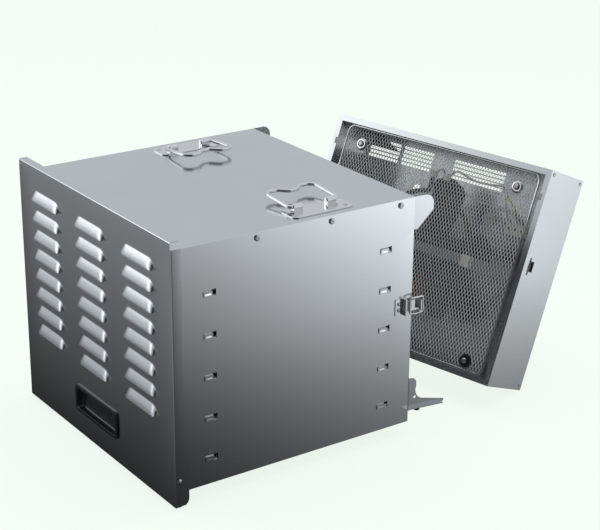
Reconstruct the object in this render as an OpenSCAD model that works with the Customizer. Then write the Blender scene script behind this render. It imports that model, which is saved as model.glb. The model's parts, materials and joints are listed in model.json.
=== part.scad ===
// Box food dehydrator: sheet-steel drying cabinet with five wire trays, a louvred
// pull-off door at the front and a fan-and-heater unit that latches on at the rear.
// The rear unit is modelled unlatched, leaning back behind the cabinet.
// Cabinet axes: X to the right seen from the door, Y from the door to the rear, Z up.

/* [Cabinet] */
// Outer width of the cabinet
cabinet_w = 400; // [380:1:440]
// Depth of the cabinet, front frame to rear frame
cabinet_d = 388; // [360:1:420]
// Height of the cabinet's side panels
cabinet_h = 337; // [330:1:345]
// Height of the rubber feet, which is the gap under the cabinet
foot_h = 19.5; // [16:0.5:24]
// Thickness of the steel sheet
sheet = 1; // [0.8:0.1:1.2]

/* [Door] */
// How far the door's flanges stand outside the cabinet on each side
door_overhang = 11.5; // [9:0.5:14]
// Height of the door panel
door_h = 367.7; // [360:0.1:372]
// Gap between the floor and the door's lower edge
door_gap = 4.3; // [3:0.1:8]
// Depth of the door's side flanges
door_flange = 15; // [12:0.5:18]
// Width of one louvre
louvre_w = 80; // [60:1:90]
// Height of one louvre hood
louvre_h = 15; // [10:0.5:18]
// Vertical distance between louvres
louvre_pitch = 28.9; // [26:0.1:32]
// Number of louvre rows
louvre_rows = 8; // [4:1:8]

/* [Trays] */
// Number of wire trays
tray_count = 5; // [3:1:5]
// Vertical distance between trays
tray_pitch = 58; // [54:1:62]
// Height of the lowest pair of tray rails
first_rail_z = 57; // [54:1:60]

/* [Rear unit] */
// Outer width of the fan-and-heater unit
unit_w = 397; // [390:0.5:397.5]
// Height of the unit
unit_h = 330; // [326:1:334]
// Depth of the unit's housing
unit_d = 101; // [90:1:110]
// Angle that the unclipped unit leans away from its closed place
lean_angle = 27.9; // [26:0.1:28]
// Diameter of the fan
fan_dia = 230; // [180:1:240]

/* [Handles and latches] */
// Length of a chest handle's base plate
handle_len = 98; // [90:1:110]
// Height of the draw latches above the floor
latch_z = 200.5; // [190:0.5:210]

/* [Hidden] */
$fn = 40;

// Driving places
half_w = cabinet_w / 2;
front_y = 2;
rear_y = front_y + cabinet_d;
floor_z = foot_h;
top_z = floor_z + cabinet_h;
inner_x = half_w - sheet;
door_half_w = half_w + door_overhang;
door_top = door_gap + door_h;
frame_lip = 9;
// Middle of the whole object's footprint, which is the part's origin
origin_x = -5.65;
origin_y = 371.41;

// Rear unit: closed place, and the line that it swings about to lean back
unit_front_y = rear_y + 0.5;
unit_floor_z = 12;
unit_half_w = unit_w / 2;
swing_point = [-169.3, 506.2, -69.5];
swing_axis = [-0.834, -0.051, 0.549];
flange_w = 9;
fan_z = unit_h / 2;
guard_y = 8;
guard_half_w = 180;
guard_low = 8;
guard_high = unit_h - 9;
housing_screw_yz = [[9, unit_h - 6], [unit_d - 7, unit_h - 6], [unit_d - 7, 8]];

// Door louvres and pull
louvre_columns = [-129, 0, 129];
louvre_top_z = 323;
louvre_rise = 6;
pull_w = 121;
pull_h = 41;
pull_z = 60.5;
stud_z = 42.4;
stud_y = 6.5;
stud_r = 3;

// Tray rails and the slots that their hooks come through
slot_front_y = 62;
slot_rear_y = 342.5;
slot_len = 20;
slot_h = 9;
rail_y = [40, 366];
ledge_w = 24;
tray_half_w = 188;
tray_y = [26, 372];
wire_d = 4;
drip_z = floor_z + frame_lip + 0.6;

// Handles and latches
handle_y = 250;
handle_base_x = 149;
handle_pivot_x = 160;
handle_leg_gap = 78;
handle_leg_len = 60;
bail_wire = 5.6;
handle_pivot_z = top_z + 6.8;
latch_pivot_y = 375;
latch_pivot_x = half_w + 5.2;
latch_wire = 2.6;
screw_ys = [134, 251, 366];
foot_ys = [46, 332];
foot_x = 150;

// Moves the cabinet's own frame so that the whole object stands centred on the origin
module cabinet_frame() translate([-origin_x, -origin_y, 0]) children();

// Carries a piece of the rear unit from its own frame to the leaning place:
// X from its middle, Y from its front rim to the rear, Z from its lower edge
module unit_frame() {
    cabinet_frame()
    translate(swing_point) rotate(a = lean_angle, v = swing_axis) translate(-swing_point)
    translate([0, unit_front_y, unit_floor_z]) children();
}

module both_sides() {
    children();
    mirror([1, 0, 0]) children();
}

module block(low, high) translate(low) cube(high - low);

module rod(start, end, r) {
    d = end - start;
    translate(start)
    rotate([0, acos(d[2] / norm(d)), atan2(d[1], d[0])])
    cylinder(h = norm(d), r = r);
}

// Round rod through a list of points, with slightly fuller balls at the bends
module bent_rod(points, r) {
    for (i = [0:len(points) - 2]) rod(points[i], points[i + 1], r);
    for (i = [1:len(points) - 2]) translate(points[i]) sphere(r = r + 0.06);
}

function unit(v) = v / norm(v);
function headings(route) = [for (i = [0:len(route) - 1])
    unit(route[min(i + 1, len(route) - 1)] - route[max(i - 1, 0)])];
function square_to(v, dir) = unit(v - (v * dir) * dir);
function carried(dirs, across) = len(across) == len(dirs) ? across :
    carried(dirs, concat(across, [square_to(across[len(across) - 1], dirs[len(across)])]));
// Route with each inner corner eased into a curve of four points, starting cut before the corner
function eased(route, cut) = [for (i = [0:len(route) - 1]) let (p = route[i])
    each i == 0 || i == len(route) - 1 ? [p] :
        let (a = p + cut * unit(route[i - 1] - p), b = p + cut * unit(route[i + 1] - p))
        [for (t = [0, 1 / 3, 2 / 3, 1]) (1 - t) * (1 - t) * a + 2 * t * (1 - t) * p + t * t * b]];
// Rod swept along a route, its many-sided section carried from point to point without twist
module swept_rod(route, r, sides) {
    dirs = headings(route);
    across = carried(dirs, [square_to([0.3, 0.2, 1], dirs[0])]);
    rings = [for (i = [0:len(route) - 1]) for (k = [0:sides - 1])
        route[i] + r * (cos(360 * k / sides) * across[i]
                        + sin(360 * k / sides) * cross(dirs[i], across[i]))];
    last = (len(route) - 1) * sides;
    polyhedron(rings, concat(
        [[for (k = [0:sides - 1]) k]], [[for (k = [sides - 1:-1:0]) last + k]],
        [for (i = [0:len(route) - 2]) for (k = [0:sides - 1])
            [i * sides + k, (i + 1) * sides + k,
             (i + 1) * sides + (k + 1) % sides, i * sides + (k + 1) % sides]]));
}

// Pan-head screw along +X with its head's underside at the origin
module pan_screw(head_r = 4.2, shank_r = 1.9, length = 6, rise = 2.3) {
    edge = rise * 0.565;
    rotate([0, 90, 0]) difference() {
        union() {
            cylinder(h = edge, r = head_r);
            translate([0, 0, edge]) cylinder(h = rise - edge, r1 = head_r, r2 = head_r * 0.6);
        }
        for (a = [0, 90]) rotate(a) translate([-head_r * 0.45, -0.4, rise * 0.52]) cube([head_r * 0.9, 0.8, 2]);
    }
    rotate([0, -90, 0]) cylinder(h = length, r = shank_r);
}

module dome_rivet(r = 3.2, h = 1.8) {
    rotate([0, 90, 0]) intersection() {
        translate([0, 0, h - r * 1.3]) sphere(r = r * 1.3);
        cylinder(h = h, r = r);
    }
}

module rail_rows() for (k = [0:tray_count - 1]) translate([0, 0, first_rail_z + k * tray_pitch]) children();

// Side sheet with five pairs of hook slots, an open stud notch at the front
// and a flared ear at the top rear that guides the fan unit home
module side_panel() {
    difference() {
        block([inner_x, front_y, floor_z], [half_w, rear_y, top_z]);
        rail_rows() for (y = [slot_front_y, slot_rear_y])
            translate([inner_x - 1, y - slot_len / 2, -slot_h / 2]) cube([sheet + 2, slot_len, slot_h]);
        translate([inner_x - 1, stud_y, stud_z]) rotate([0, 90, 0]) cylinder(h = sheet + 2, r = stud_r + 0.4);
        block([inner_x - 1, front_y - 1, stud_z - stud_r - 0.4], [half_w + 1, stud_y, stud_z + stud_r + 0.4]);
        for (y = screw_ys) translate([inner_x - 1, y, top_z - 8])
            rotate([0, 90, 0]) cylinder(h = sheet + 2, r = 2);
    }
    guide_ear();
}

ear_reach = 32;
ear_drop = 47;
ear_flare = 3.6;
module guide_ear() {
    corner = 14;
    translate([inner_x + 0.45, rear_y - 0.05, top_z]) rotate([0, 0, -ear_flare])
    rotate([90, 0, 90]) linear_extrude(sheet * 0.55) union() {
        polygon([[0, 0], [ear_reach - corner, 0], [ear_reach, -corner], [ear_reach, -22],
                 [ear_reach - 26, -ear_drop], [0, -ear_drop]]);
        translate([ear_reach - corner, -corner]) circle(r = corner);
    }
}

module left_side_panel() color("silver") cabinet_frame() mirror([1, 0, 0]) side_panel();
module right_side_panel() color("silver") cabinet_frame() side_panel();

// Lid sheet with down-turned edges that screw inside the side panels
module top_panel() color("lightsteelblue") cabinet_frame() {
    block([-inner_x, front_y + sheet, top_z - sheet], [inner_x, rear_y - sheet, top_z]);
    both_sides() difference() {
        block([inner_x - sheet, front_y + sheet, top_z - 16], [inner_x, rear_y - sheet, top_z - sheet]);
        for (y = screw_ys) translate([inner_x - sheet - 1, y, top_z - 8])
            rotate([0, 90, 0]) cylinder(h = sheet + 2, r = 2);
    }
}

module bottom_panel() color("silver") cabinet_frame() difference() {
    union() {
        block([-inner_x, front_y + sheet, floor_z], [inner_x, rear_y - sheet, floor_z + sheet]);
        both_sides() block([inner_x - sheet, front_y + sheet, floor_z], [inner_x, rear_y - sheet, floor_z + 12]);
        both_sides() difference() {
            block([112, 30, floor_z + sheet], [128, 360, drip_z - 0.3]);
            block([113, 20, floor_z], [127, 370, drip_z - 0.3 - sheet]);
        }
    }
    both_sides() for (y = foot_ys) translate([foot_x, y, floor_z - 1]) cylinder(h = sheet + 2, r = 2.6);
}

// Ring of sheet with its inner edge turned into the cabinet
module frame_ring(face_y, lip_dir, lip_len) {
    low = floor_z + 0.02;
    difference() {
        block([-inner_x, min(face_y, face_y + sheet * lip_dir), low],
              [inner_x, max(face_y, face_y + sheet * lip_dir), top_z]);
        block([-inner_x + frame_lip, face_y - 5, low + frame_lip], [inner_x - frame_lip, face_y + 5, top_z - 17]);
    }
    difference() {
        block([-inner_x + frame_lip - 1, min(face_y, face_y + lip_len * lip_dir), low + frame_lip - 1],
              [inner_x - frame_lip + 1, max(face_y, face_y + lip_len * lip_dir), top_z - 16]);
        block([-inner_x + frame_lip, face_y - 30, low + frame_lip], [inner_x - frame_lip, face_y + 30, top_z - 17]);
        block([-inner_x, face_y - 30, low - 1], [inner_x, face_y + 30, floor_z + sheet]);
    }
}

module front_frame() color("silver") cabinet_frame() frame_ring(front_y, 1, 8);
module rear_frame() color("silver") cabinet_frame() frame_ring(rear_y, -1, 8);

// Stepped ledge under the rear of the floor that carries the fan unit's lower edge
module rear_sill() color("gray") cabinet_frame() {
    ledge_z = unit_floor_z - 0.4;
    block([-160, rear_y - 42, floor_z - sheet], [160, rear_y - 4, floor_z]);
    block([-160, rear_y - 5, ledge_z - sheet], [160, rear_y - 4, floor_z]);
    block([-160, rear_y - 5, ledge_z - sheet], [160, rear_y + 28, ledge_z]);
}

arm_len = 58;
arm_low = 40;
arm_flare = 8.4;
arm_shelf = 7;
// Flared side arms low on the cabinet's rear edge that lead the unit in
module arm_outline() {
    difference() {
        union() {
            polygon([[0, 0], [arm_len - 2, 0], [arm_len, 1.5], [arm_len, 4], [26, 11], [0, 11]]);
            translate([0, 10]) square([12, 28]);
            translate([0, 10]) square([26, 15]);
            square([4, 46]);
            translate([4, 38]) circle(r = 8);
        }
        translate([27, 27]) circle(r = 16);
        translate([10, 16]) circle(r = 2.2);
        translate([-10, -1]) square([10.05, 60]);
    }
}
module guide_arm() {
    translate([inner_x + 0.85, rear_y + 0.02, arm_low]) rotate([0, 0, -arm_flare]) {
        rotate([90, 0, 90]) linear_extrude(sheet) arm_outline();
        cube([arm_shelf, arm_len - 4, sheet]);
    }
    block([half_w, rear_y - arm_shelf, arm_low], [half_w + arm_shelf, rear_y + 1, arm_low + sheet]);
}
// Rubber stops pushed up into the arms' shelves
module arm_bumpers() color("black") cabinet_frame() both_sides()
    translate([half_w + 4.6, rear_y + 12, arm_low - 3.2]) cylinder(h = 3.15, r1 = 4, r2 = 5);
module lower_guide_arms() color("silver") cabinet_frame() both_sides() guide_arm();

// Angle rail with two hooks that come out through the side panel's slots
module tray_rail() {
    difference() {
        block([inner_x - sheet, rail_y[0], -5.5], [inner_x, rail_y[1], 6]);
        for (y = [slot_front_y, slot_rear_y]) block([inner_x - 2, y + 4, -4], [inner_x + 1, y + 10, 4.4]);
    }
    block([inner_x - ledge_w, rail_y[0], -5.5], [inner_x, rail_y[1], -5.5 + sheet]);
    for (y = [slot_front_y, slot_rear_y]) {
        block([inner_x - 0.5, y - 9, -2.6], [half_w + 1.2, y + 4, 2.6]);
        block([half_w + 0.2, y - 9, -4], [half_w + 1.2, y + 3, 2.6]);
    }
}
module tray_rails_right() color("gainsboro") cabinet_frame() rail_rows() tray_rail();
module tray_rails_left() color("gainsboro") cabinet_frame() mirror([1, 0, 0]) rail_rows() tray_rail();

module cabinet_screws() color("silver") cabinet_frame()
    both_sides() for (y = screw_ys) translate([half_w, y, top_z - 8]) pan_screw();

module rubber_feet() color("black") cabinet_frame() both_sides() for (y = foot_ys)
    translate([foot_x, y, 0]) difference() {
        cylinder(h = foot_h, r1 = 12.5, r2 = 15);
        translate([0, 0, -1]) cylinder(h = 9, r = 6);
        translate([0, 0, 5]) cylinder(h = foot_h, r = 2.6);
    }

module foot_screws() color("silver") cabinet_frame() both_sides() for (y = foot_ys)
    translate([foot_x, y, 8]) union() {
        translate([0, 0, -3]) cylinder(h = 3, r = 4.6);
        translate([0, 0, -0.5]) cylinder(h = foot_h - 2, r = 2.55);
    }

// Chest handle: pressed plate with two curled lugs that hold the bail's ends
module handle_base() {
    lug_r = bail_wire / 2 + 0.05;
    wall = 1.4;
    lug_inset = 12;
    pivot_z = handle_pivot_z;
    difference() {
        union() {
            translate([handle_base_x, handle_y - handle_len / 2, top_z])
                linear_extrude(1.4) plate_outline(38, handle_len, 9);
            for (s = [-1, 1]) {
                block([handle_pivot_x - lug_r - wall, handle_y + s * (handle_leg_gap / 2 - lug_inset) - 7, top_z],
                      [handle_pivot_x + lug_r + wall, handle_y + s * (handle_leg_gap / 2 - lug_inset) + 7, pivot_z]);
                translate([handle_pivot_x, handle_y + s * (handle_leg_gap / 2 - lug_inset) + 7, pivot_z])
                    rotate([90, 0, 0]) cylinder(h = 14, r = lug_r + wall);
            }
        }
        translate([handle_pivot_x, handle_y + 50, pivot_z]) rotate([90, 0, 0]) cylinder(h = 100, r = lug_r);
        for (s = [-1, 1]) translate([handle_base_x + 28, handle_y + s * 40, top_z - 1]) cylinder(h = 4, r = 2.2);
    }
}
module plate_outline(w, l, r) {
    for (x = [r, w - r]) for (y = [r, l - r]) translate([x, y]) circle(r = r);
    translate([r, 0]) square([w - 2 * r, l]);
    translate([0, r]) square([w, l - 2 * r]);
}
// Wire bail with in-turned ends, two legs and a grip that dips in at its middle
module handle_bail() {
    z = handle_pivot_z;
    half = handle_leg_gap / 2;
    grip_x = handle_pivot_x - handle_leg_len;
    r = bail_wire / 2;
    lift = 4;
    pin = 7;
    swept_rod(eased([[handle_pivot_x, handle_y - half + pin, z], [handle_pivot_x, handle_y - half, z],
                     [grip_x + 8, handle_y - half - 1, z + lift], [grip_x, handle_y - half + 7, z + lift],
                     [grip_x, handle_y - 18, z + lift], [grip_x + 12, handle_y - 7, z + lift],
                     [grip_x + 12, handle_y + 7, z + lift], [grip_x, handle_y + 18, z + lift],
                     [grip_x, handle_y + half - 7, z + lift], [grip_x + 8, handle_y + half + 1, z + lift],
                     [handle_pivot_x, handle_y + half, z], [handle_pivot_x, handle_y + half - pin, z]], 4.8),
              r * 0.99, 10);
    for (s = [-1, 1])
        rod([handle_pivot_x, handle_y + s * (half - 20), z], [handle_pivot_x, handle_y + s * (half - pin + 1), z], r);
}
module handle_base_right() color("gainsboro") cabinet_frame() handle_base();
module handle_base_left() color("gainsboro") cabinet_frame() mirror([1, 0, 0]) handle_base();
module handle_bail_right() color("white") cabinet_frame() handle_bail();
module handle_bail_left() color("white") cabinet_frame() mirror([1, 0, 0]) handle_bail();
module handle_rivets() color("silver") cabinet_frame() both_sides() for (s = [-1, 1])
    translate([handle_base_x + 28, handle_y + s * 40, top_z]) union() {
        cylinder(h = 1.4, r = 2.15);
        translate([0, 0, 1.4]) rotate([0, -90, 0]) dome_rivet(3.6, 1.8);
    }

// Draw latch: a riveted base with a knuckle, a lever on it, and a wire bail on the lever
module latch_base() {
    difference() {
        union() {
            block([half_w, 361, latch_z - 12], [half_w + 1.2, latch_pivot_y + 3.4, latch_z + 12]);
            for (s = [-1, 1]) {
                block([half_w, latch_pivot_y - 2.6, latch_z + s * 10 - 2],
                      [latch_pivot_x, latch_pivot_y + 2.6, latch_z + s * 10 + 2]);
                translate([latch_pivot_x, latch_pivot_y, latch_z + s * 10 - 2]) cylinder(h = 4, r = 2.6);
            }
        }
        translate([latch_pivot_x, latch_pivot_y, latch_z - 15]) cylinder(h = 30, r = 1.35);
        for (s = [-1, 1]) translate([half_w - 1, 366.5, latch_z + s * 4.6])
            rotate([0, 90, 0]) cylinder(h = 4, r = 1.5);
    }
}
bail_pivot_y = latch_pivot_y + 7;
bail_pivot_x = latch_pivot_x + 1.4;
module latch_lever() {
    difference() {
        union() {
            translate([latch_pivot_x, latch_pivot_y, latch_z - 7.7]) cylinder(h = 15.4, r = 2.6);
            translate([latch_pivot_x, latch_pivot_y, latch_z - 12]) cylinder(h = 24, r = 1.3);
            block([latch_pivot_x - 0.6, latch_pivot_y, latch_z - 7.7],
                  [latch_pivot_x + 0.6, latch_pivot_y + 22, latch_z + 7.7]);
            translate([bail_pivot_x, bail_pivot_y, latch_z - 7.7]) cylinder(h = 15.4, r = 2.4);
            translate([latch_pivot_x + 3.4, latch_pivot_y + 22, latch_z - 7.7]) difference() {
                cylinder(h = 15.4, r = 4);
                translate([0, 0, -1]) cylinder(h = 18, r = 2.8);
                translate([-5, -5, -1]) cube([10, 5, 18]);
            }
        }
        translate([bail_pivot_x, bail_pivot_y, latch_z - 9]) cylinder(h = 18, r = latch_wire / 2 + 0.05);
    }
}
module latch_bail() {
    x = bail_pivot_x;
    h = 11.4;
    y0 = bail_pivot_y;
    y1 = latch_pivot_y + 28.8;
    r = latch_wire / 2;
    swept_rod(eased([[x, y0, latch_z - 8.6], [x, y0, latch_z - h], [x + 1.5, y0 + 6, latch_z - h - 0.6],
                     [x + 1.5, y1, latch_z - h], [x + 1.5, y1, latch_z + h],
                     [x + 1.5, y0 + 6, latch_z + h + 0.6], [x, y0, latch_z + h], [x, y0, latch_z + 8.6]], 2.2),
              r * 0.99, 8);
    for (s = [-1, 1]) rod([x, y0, latch_z + s * 6], [x, y0, latch_z + s * 9.2], r);
}
module latch_bases() color("gainsboro") cabinet_frame() both_sides() latch_base();
module latch_lever_right() color("silver") cabinet_frame() latch_lever();
module latch_lever_left() color("silver") cabinet_frame() mirror([1, 0, 0]) latch_lever();
module latch_bail_right() color("white") cabinet_frame() latch_bail();
module latch_bail_left() color("white") cabinet_frame() mirror([1, 0, 0]) latch_bail();
module latch_rivets() color("silver") cabinet_frame() both_sides() for (s = [-1, 1])
    translate([half_w, 366.5, latch_z + s * 4.6]) union() {
        rotate([0, 90, 0]) cylinder(h = 1.3, r = 1.45);
        translate([1.2, 0, 0]) dome_rivet(2.8, 1.5);
    }

// Front outline of a louvre hood: straight lower edge, quarter-ellipse ends
module hood_outline() {
    end_w = 14;
    steps = 6;
    polygon(concat(
        [for (i = [0:steps]) [-louvre_w / 2 + end_w * (1 - cos(90 * i / steps)), louvre_h * sin(90 * i / steps)]],
        [for (i = [0:steps]) [louvre_w / 2 - end_w * (1 - sin(90 * i / steps)), louvre_h * cos(90 * i / steps)]]));
}
// Hood wall: a sheet that rises from the panel's face towards its open lower lip
module hood() {
    t = 0.9;
    intersection() {
        translate([0, sheet, 0]) rotate([90, 0, 0]) linear_extrude(louvre_rise + sheet) hood_outline();
        translate([-louvre_w / 2, 0, 0]) rotate([90, 0, 90]) linear_extrude(louvre_w)
            polygon([[sheet, louvre_h], [0, louvre_h], [-louvre_rise * 0.6, louvre_h * 0.62],
                     [-louvre_rise, louvre_h * 0.2], [-louvre_rise, 0], [-louvre_rise + t, 0],
                     [-louvre_rise + t, louvre_h * 0.2], [-louvre_rise * 0.6 + t, louvre_h * 0.56],
                     [sheet, louvre_h * 0.86]]);
    }
}
module louvre_places() for (x = louvre_columns) for (k = [0:louvre_rows - 1])
    translate([x, 0, louvre_top_z - k * louvre_pitch]) children();

module door_flange_outline() {
    ear_top = 101;
    ear_step = 12;
    ear_d = 20.6;
    corner = 12;
    difference() {
        union() {
            polygon([[0, door_gap], [ear_d - corner, door_gap], [ear_d, door_gap + corner],
                     [ear_d, ear_top - ear_step], [door_flange, ear_top], [door_flange, door_top - 10],
                     [0, door_top - 10]]);
            translate([ear_d - corner, door_gap + corner]) circle(r = corner);
        }
        translate([-corner, 0]) square([corner, door_h]);
    }
}
// Door sheet with side flanges, a short top lip and bottom lip, and three columns of louvres
module door_panel() color("slategray") cabinet_frame() {
    difference() {
        block([-door_half_w, 0, door_gap], [door_half_w, sheet, door_top]);
        louvre_places() block([-louvre_w / 2 + 3, -1, 0.5], [louvre_w / 2 - 3, sheet + 1, louvre_h * 0.55]);
        block([-pull_w / 2 + 4, -1, pull_z - pull_h / 2 + 4], [pull_w / 2 - 4, 3, pull_z + pull_h / 2 - 4]);
    }
    louvre_places() hood();
    both_sides() difference() {
        translate([door_half_w - sheet, 0, 0]) rotate([90, 0, 90]) linear_extrude(sheet) door_flange_outline();
        translate([door_half_w - 2, stud_y, stud_z]) rotate([0, 90, 0]) cylinder(h = 3, r = 2);
    }
    block([-door_half_w + 8, 0, door_top - sheet], [door_half_w - 8, 12, door_top]);
    block([-door_half_w + sheet, 0, door_gap], [door_half_w - sheet, 10, door_gap + sheet]);
}
// Recessed finger pull: moulded rim in front, cup behind the sheet
module door_pull() color("black") cabinet_frame() {
    rim = 3;
    cup = 14;
    wall = 1.8;
    difference() {
        union() {
            block([-pull_w / 2, -rim, pull_z - pull_h / 2], [pull_w / 2, 0, pull_z + pull_h / 2]);
            block([-pull_w / 2 + 4, -rim, pull_z - pull_h / 2 + 4], [pull_w / 2 - 4, cup, pull_z + pull_h / 2 - 4]);
        }
        block([-pull_w / 2 + 4 + wall, -rim - 1, pull_z - pull_h / 2 + 4 + wall],
              [pull_w / 2 - 4 - wall, cup - wall, pull_z + pull_h / 2 - 4 - wall]);
    }
}
// Riveted studs near the door's lower corners that sit in the side panels' open notches
module door_studs() color("silver") cabinet_frame() both_sides()
    translate([door_half_w, stud_y, stud_z]) union() {
        dome_rivet(3.8, 2);
        rotate([0, -90, 0]) cylinder(h = sheet, r = 1.95);
        translate([-sheet, 0, 0]) rotate([0, -90, 0]) cylinder(h = door_overhang - sheet + 0.9, r = stud_r);
    }

module drip_tray() color("silver") cabinet_frame() difference() {
    block([-183, tray_y[0] - 2, drip_z], [183, tray_y[1], drip_z + 12]);
    block([-182, tray_y[0] - 1, drip_z + sheet], [182, tray_y[1] - 1, drip_z + 13]);
}

// Wire tray: a bent rod frame around a flat grid
module wire_tray(k) {
    z = first_rail_z + (k - 1) * tray_pitch - 5.5 + sheet + wire_d / 2 + 0.3;
    x = tray_half_w - wire_d / 2;
    y0 = tray_y[0] + wire_d / 2;
    y1 = tray_y[1] - wire_d / 2;
    cells_x = 14;
    cells_y = 5;
    bar = 3;
    cell_w = (2 * x - bar) / cells_x;
    cell_l = (y1 - y0 - bar) / cells_y;
    color("gainsboro") cabinet_frame() {
        bent_rod([[0, y0, z], [x, y0, z], [x, y1, z], [-x, y1, z], [-x, y0, z], [0, y0, z]], wire_d / 2);
        translate([0, 0, z]) linear_extrude(1.8) difference() {
            translate([-x, y0]) square([2 * x, y1 - y0]);
            for (i = [0:cells_x - 1]) for (j = [0:cells_y - 1])
                translate([-x + bar + i * cell_w, y0 + bar + j * cell_l]) square([cell_w - bar, cell_l - bar]);
        }
    }
}
module wire_tray_1() wire_tray(1);
module wire_tray_2() wire_tray(2);
module wire_tray_3() wire_tray(3);
module wire_tray_4() wire_tray(4);
module wire_tray_5() wire_tray(5);

// Open-backed sheet housing with an inward front flange and two notches each side
module rear_housing() color("lightgray") unit_frame() difference() {
    block([-unit_half_w, 0, 0], [unit_half_w, unit_d, unit_h]);
    block([-unit_half_w + sheet, sheet, sheet], [unit_half_w - sheet, unit_d + 1, unit_h - sheet]);
    block([-unit_half_w + flange_w, -1, flange_w], [unit_half_w - flange_w, 3, unit_h - flange_w]);
    both_sides() for (z = [77, 288])
        block([unit_half_w - flange_w - 1, -1, z - 5], [unit_half_w - flange_w + 4, 2, z + 5]);
    for (x = [-90:18:90]) block([x - 3, 30, -1], [x + 3, 66, 2]);
    both_sides() for (p = housing_screw_yz)
        translate([unit_half_w - 2, p[0], p[1]]) rotate([0, 90, 0]) cylinder(h = 4, r = 1.5);
}

vent_boxes = [[-163, 58], [-98, 58], [20, 96]];
vent_z = 281;
vent_h = 30;
// Rear cover with three slatted vents high up, where the fan draws its air
module rear_back_panel() color("lightgray") unit_frame() {
    difference() {
        block([-unit_half_w + sheet, unit_d - sheet, sheet], [unit_half_w - sheet, unit_d, unit_h - sheet]);
        for (v = vent_boxes) for (i = [0:4])
            block([v[0] - v[1] / 2, unit_d - 3, vent_z + i * 6.4], [v[0] + v[1] / 2, unit_d + 1, vent_z + i * 6.4 + 4.4]);
        translate([-83, unit_d + 1, 250]) rotate([90, 0, 0]) cylinder(h = 4, r = 7);
    }
}
// Wire-mesh guard panel in front of the fan: rolled border and diamond openings
module fan_guard() color("dimgray") unit_frame() {
    cell_w = 24;
    cell_h = 40;
    translate([0, guard_y + 1.2, 0]) rotate([90, 0, 0]) linear_extrude(1.2) difference() {
        translate([-guard_half_w, guard_low]) square([2 * guard_half_w, guard_high - guard_low]);
        for (x = [-guard_fix_x, guard_fix_x]) for (z = guard_fix_z) translate([x, z]) circle(r = 2.2);
        for (i = [-6:6]) for (j = [0:6])
            diamond([i * cell_w, 45 + j * cell_h], cell_w, cell_h);
        for (i = [-6:5]) for (j = [0:5])
            diamond([(i + 0.5) * cell_w, 45 + (j + 0.5) * cell_h], cell_w, cell_h);
    }
    difference() {
        block([-guard_half_w, guard_y - 1, guard_low], [guard_half_w, guard_y + 0.1, guard_high]);
        block([-guard_half_w + 3, guard_y - 2, guard_low + 3], [guard_half_w - 3, guard_y + 1, guard_high - 3]);
    }
}
module diamond(c, w, h) {
    k = 0.86;
    translate(c) polygon([[w / 2 * k, 0], [0, h / 2 * k], [-w / 2 * k, 0], [0, -h / 2 * k]]);
}

guard_fix_x = 146;
guard_fix_z = [24, 293];
module guard_fixings() for (x = [-guard_fix_x, guard_fix_x]) for (z = guard_fix_z)
    translate([x, guard_y, z]) rotate([90, 0, 0]) children();
// Rubber grommets with steel posts that hold the guard off the rear panel
module guard_washers() color("black") unit_frame() guard_fixings() difference() {
    union() {
        translate([0, 0, 0.05]) cylinder(h = 3, r1 = 10, r2 = 8);
        translate([0, 0, -unit_d + guard_y + sheet]) cylinder(h = unit_d - guard_y - sheet - 1.3, r = 5);
    }
    translate([0, 0, -18]) cylinder(h = 30, r = 2.1);
}
module guard_screws() color("silver") unit_frame() guard_fixings() translate([0, 0, 3.05]) union() {
    rotate([0, -90, 0]) pan_screw(4, 2, 18);
}
module housing_screws() color("silver") unit_frame() both_sides()
    for (p = housing_screw_yz) translate([unit_half_w, p[0], p[1]]) pan_screw(3, 1.4, 4, 1.2);
// Strike plates that the latch bails hook over
module latch_keepers() color("gainsboro") unit_frame() both_sides() {
    z = latch_z - unit_floor_z - 3;
    block([unit_half_w, 15, z - 13], [unit_half_w + 1.2, 37, z + 13]);
    block([unit_half_w, 26, z - 8], [unit_half_w + 4.2, 27.4, z + 8]);
    block([unit_half_w + 3, 20, z - 8], [unit_half_w + 4.2, 27.4, z + 8]);
}

heater_r = 88;
heater_y = 26;
// Tubular heater: one ring around the fan hub with two legs up to its terminals
module heating_element() color("saddlebrown") unit_frame() {
    gap = 8;
    translate([0, heater_y, fan_z]) rotate([90, 0, 0]) rotate([0, 0, 90 + gap])
        rotate_extrude(angle = 360 - 2 * gap) translate([heater_r, 0]) circle(r = 3.6);
    for (s = [-1, 1]) rod([s * heater_r * sin(gap), heater_y, fan_z + heater_r * cos(gap) - 2],
                          [s * heater_r * sin(gap), heater_y, 274], 3.6);
}
module heater_insulators() color("white") unit_frame() {
    both_sides() difference() {
        block([heater_r - 7, heater_y - 6, fan_z - 9], [heater_r + 7, heater_y + 5, fan_z + 9]);
        translate([heater_r, heater_y, fan_z - 10]) cylinder(h = 20, r = 4.3);
    }
    for (s = [-1, 1]) translate([s * heater_r * sin(8), heater_y, 274]) cylinder(h = 10, r = 6);
}
// Strap from wall to wall that the heater's insulators sit on
module heater_bracket() color("gray") unit_frame() {
    block([-unit_half_w + sheet, heater_y + 5, fan_z - 7], [unit_half_w - sheet, heater_y + 6.4, fan_z + 7]);
    both_sides() block([unit_half_w - sheet - 1.4, heater_y + 5, fan_z - 7],
                       [unit_half_w - sheet, heater_y + 20, fan_z + 7]);
}

motor_y = 74;
// Pressed bracket across the housing that carries the motor
module motor_bracket() color("gray") unit_frame() difference() {
    union() {
        block([-unit_half_w + sheet, motor_y + 14, fan_z - 14], [unit_half_w - sheet, motor_y + 15.5, fan_z + 14]);
        both_sides() block([unit_half_w - sheet - 1.5, motor_y + 4, fan_z - 14], [unit_half_w - sheet, motor_y + 15.5, fan_z + 14]);
    }
    translate([0, motor_y + 20, fan_z]) rotate([90, 0, 0]) cylinder(h = 20, r = 9);
}
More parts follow.
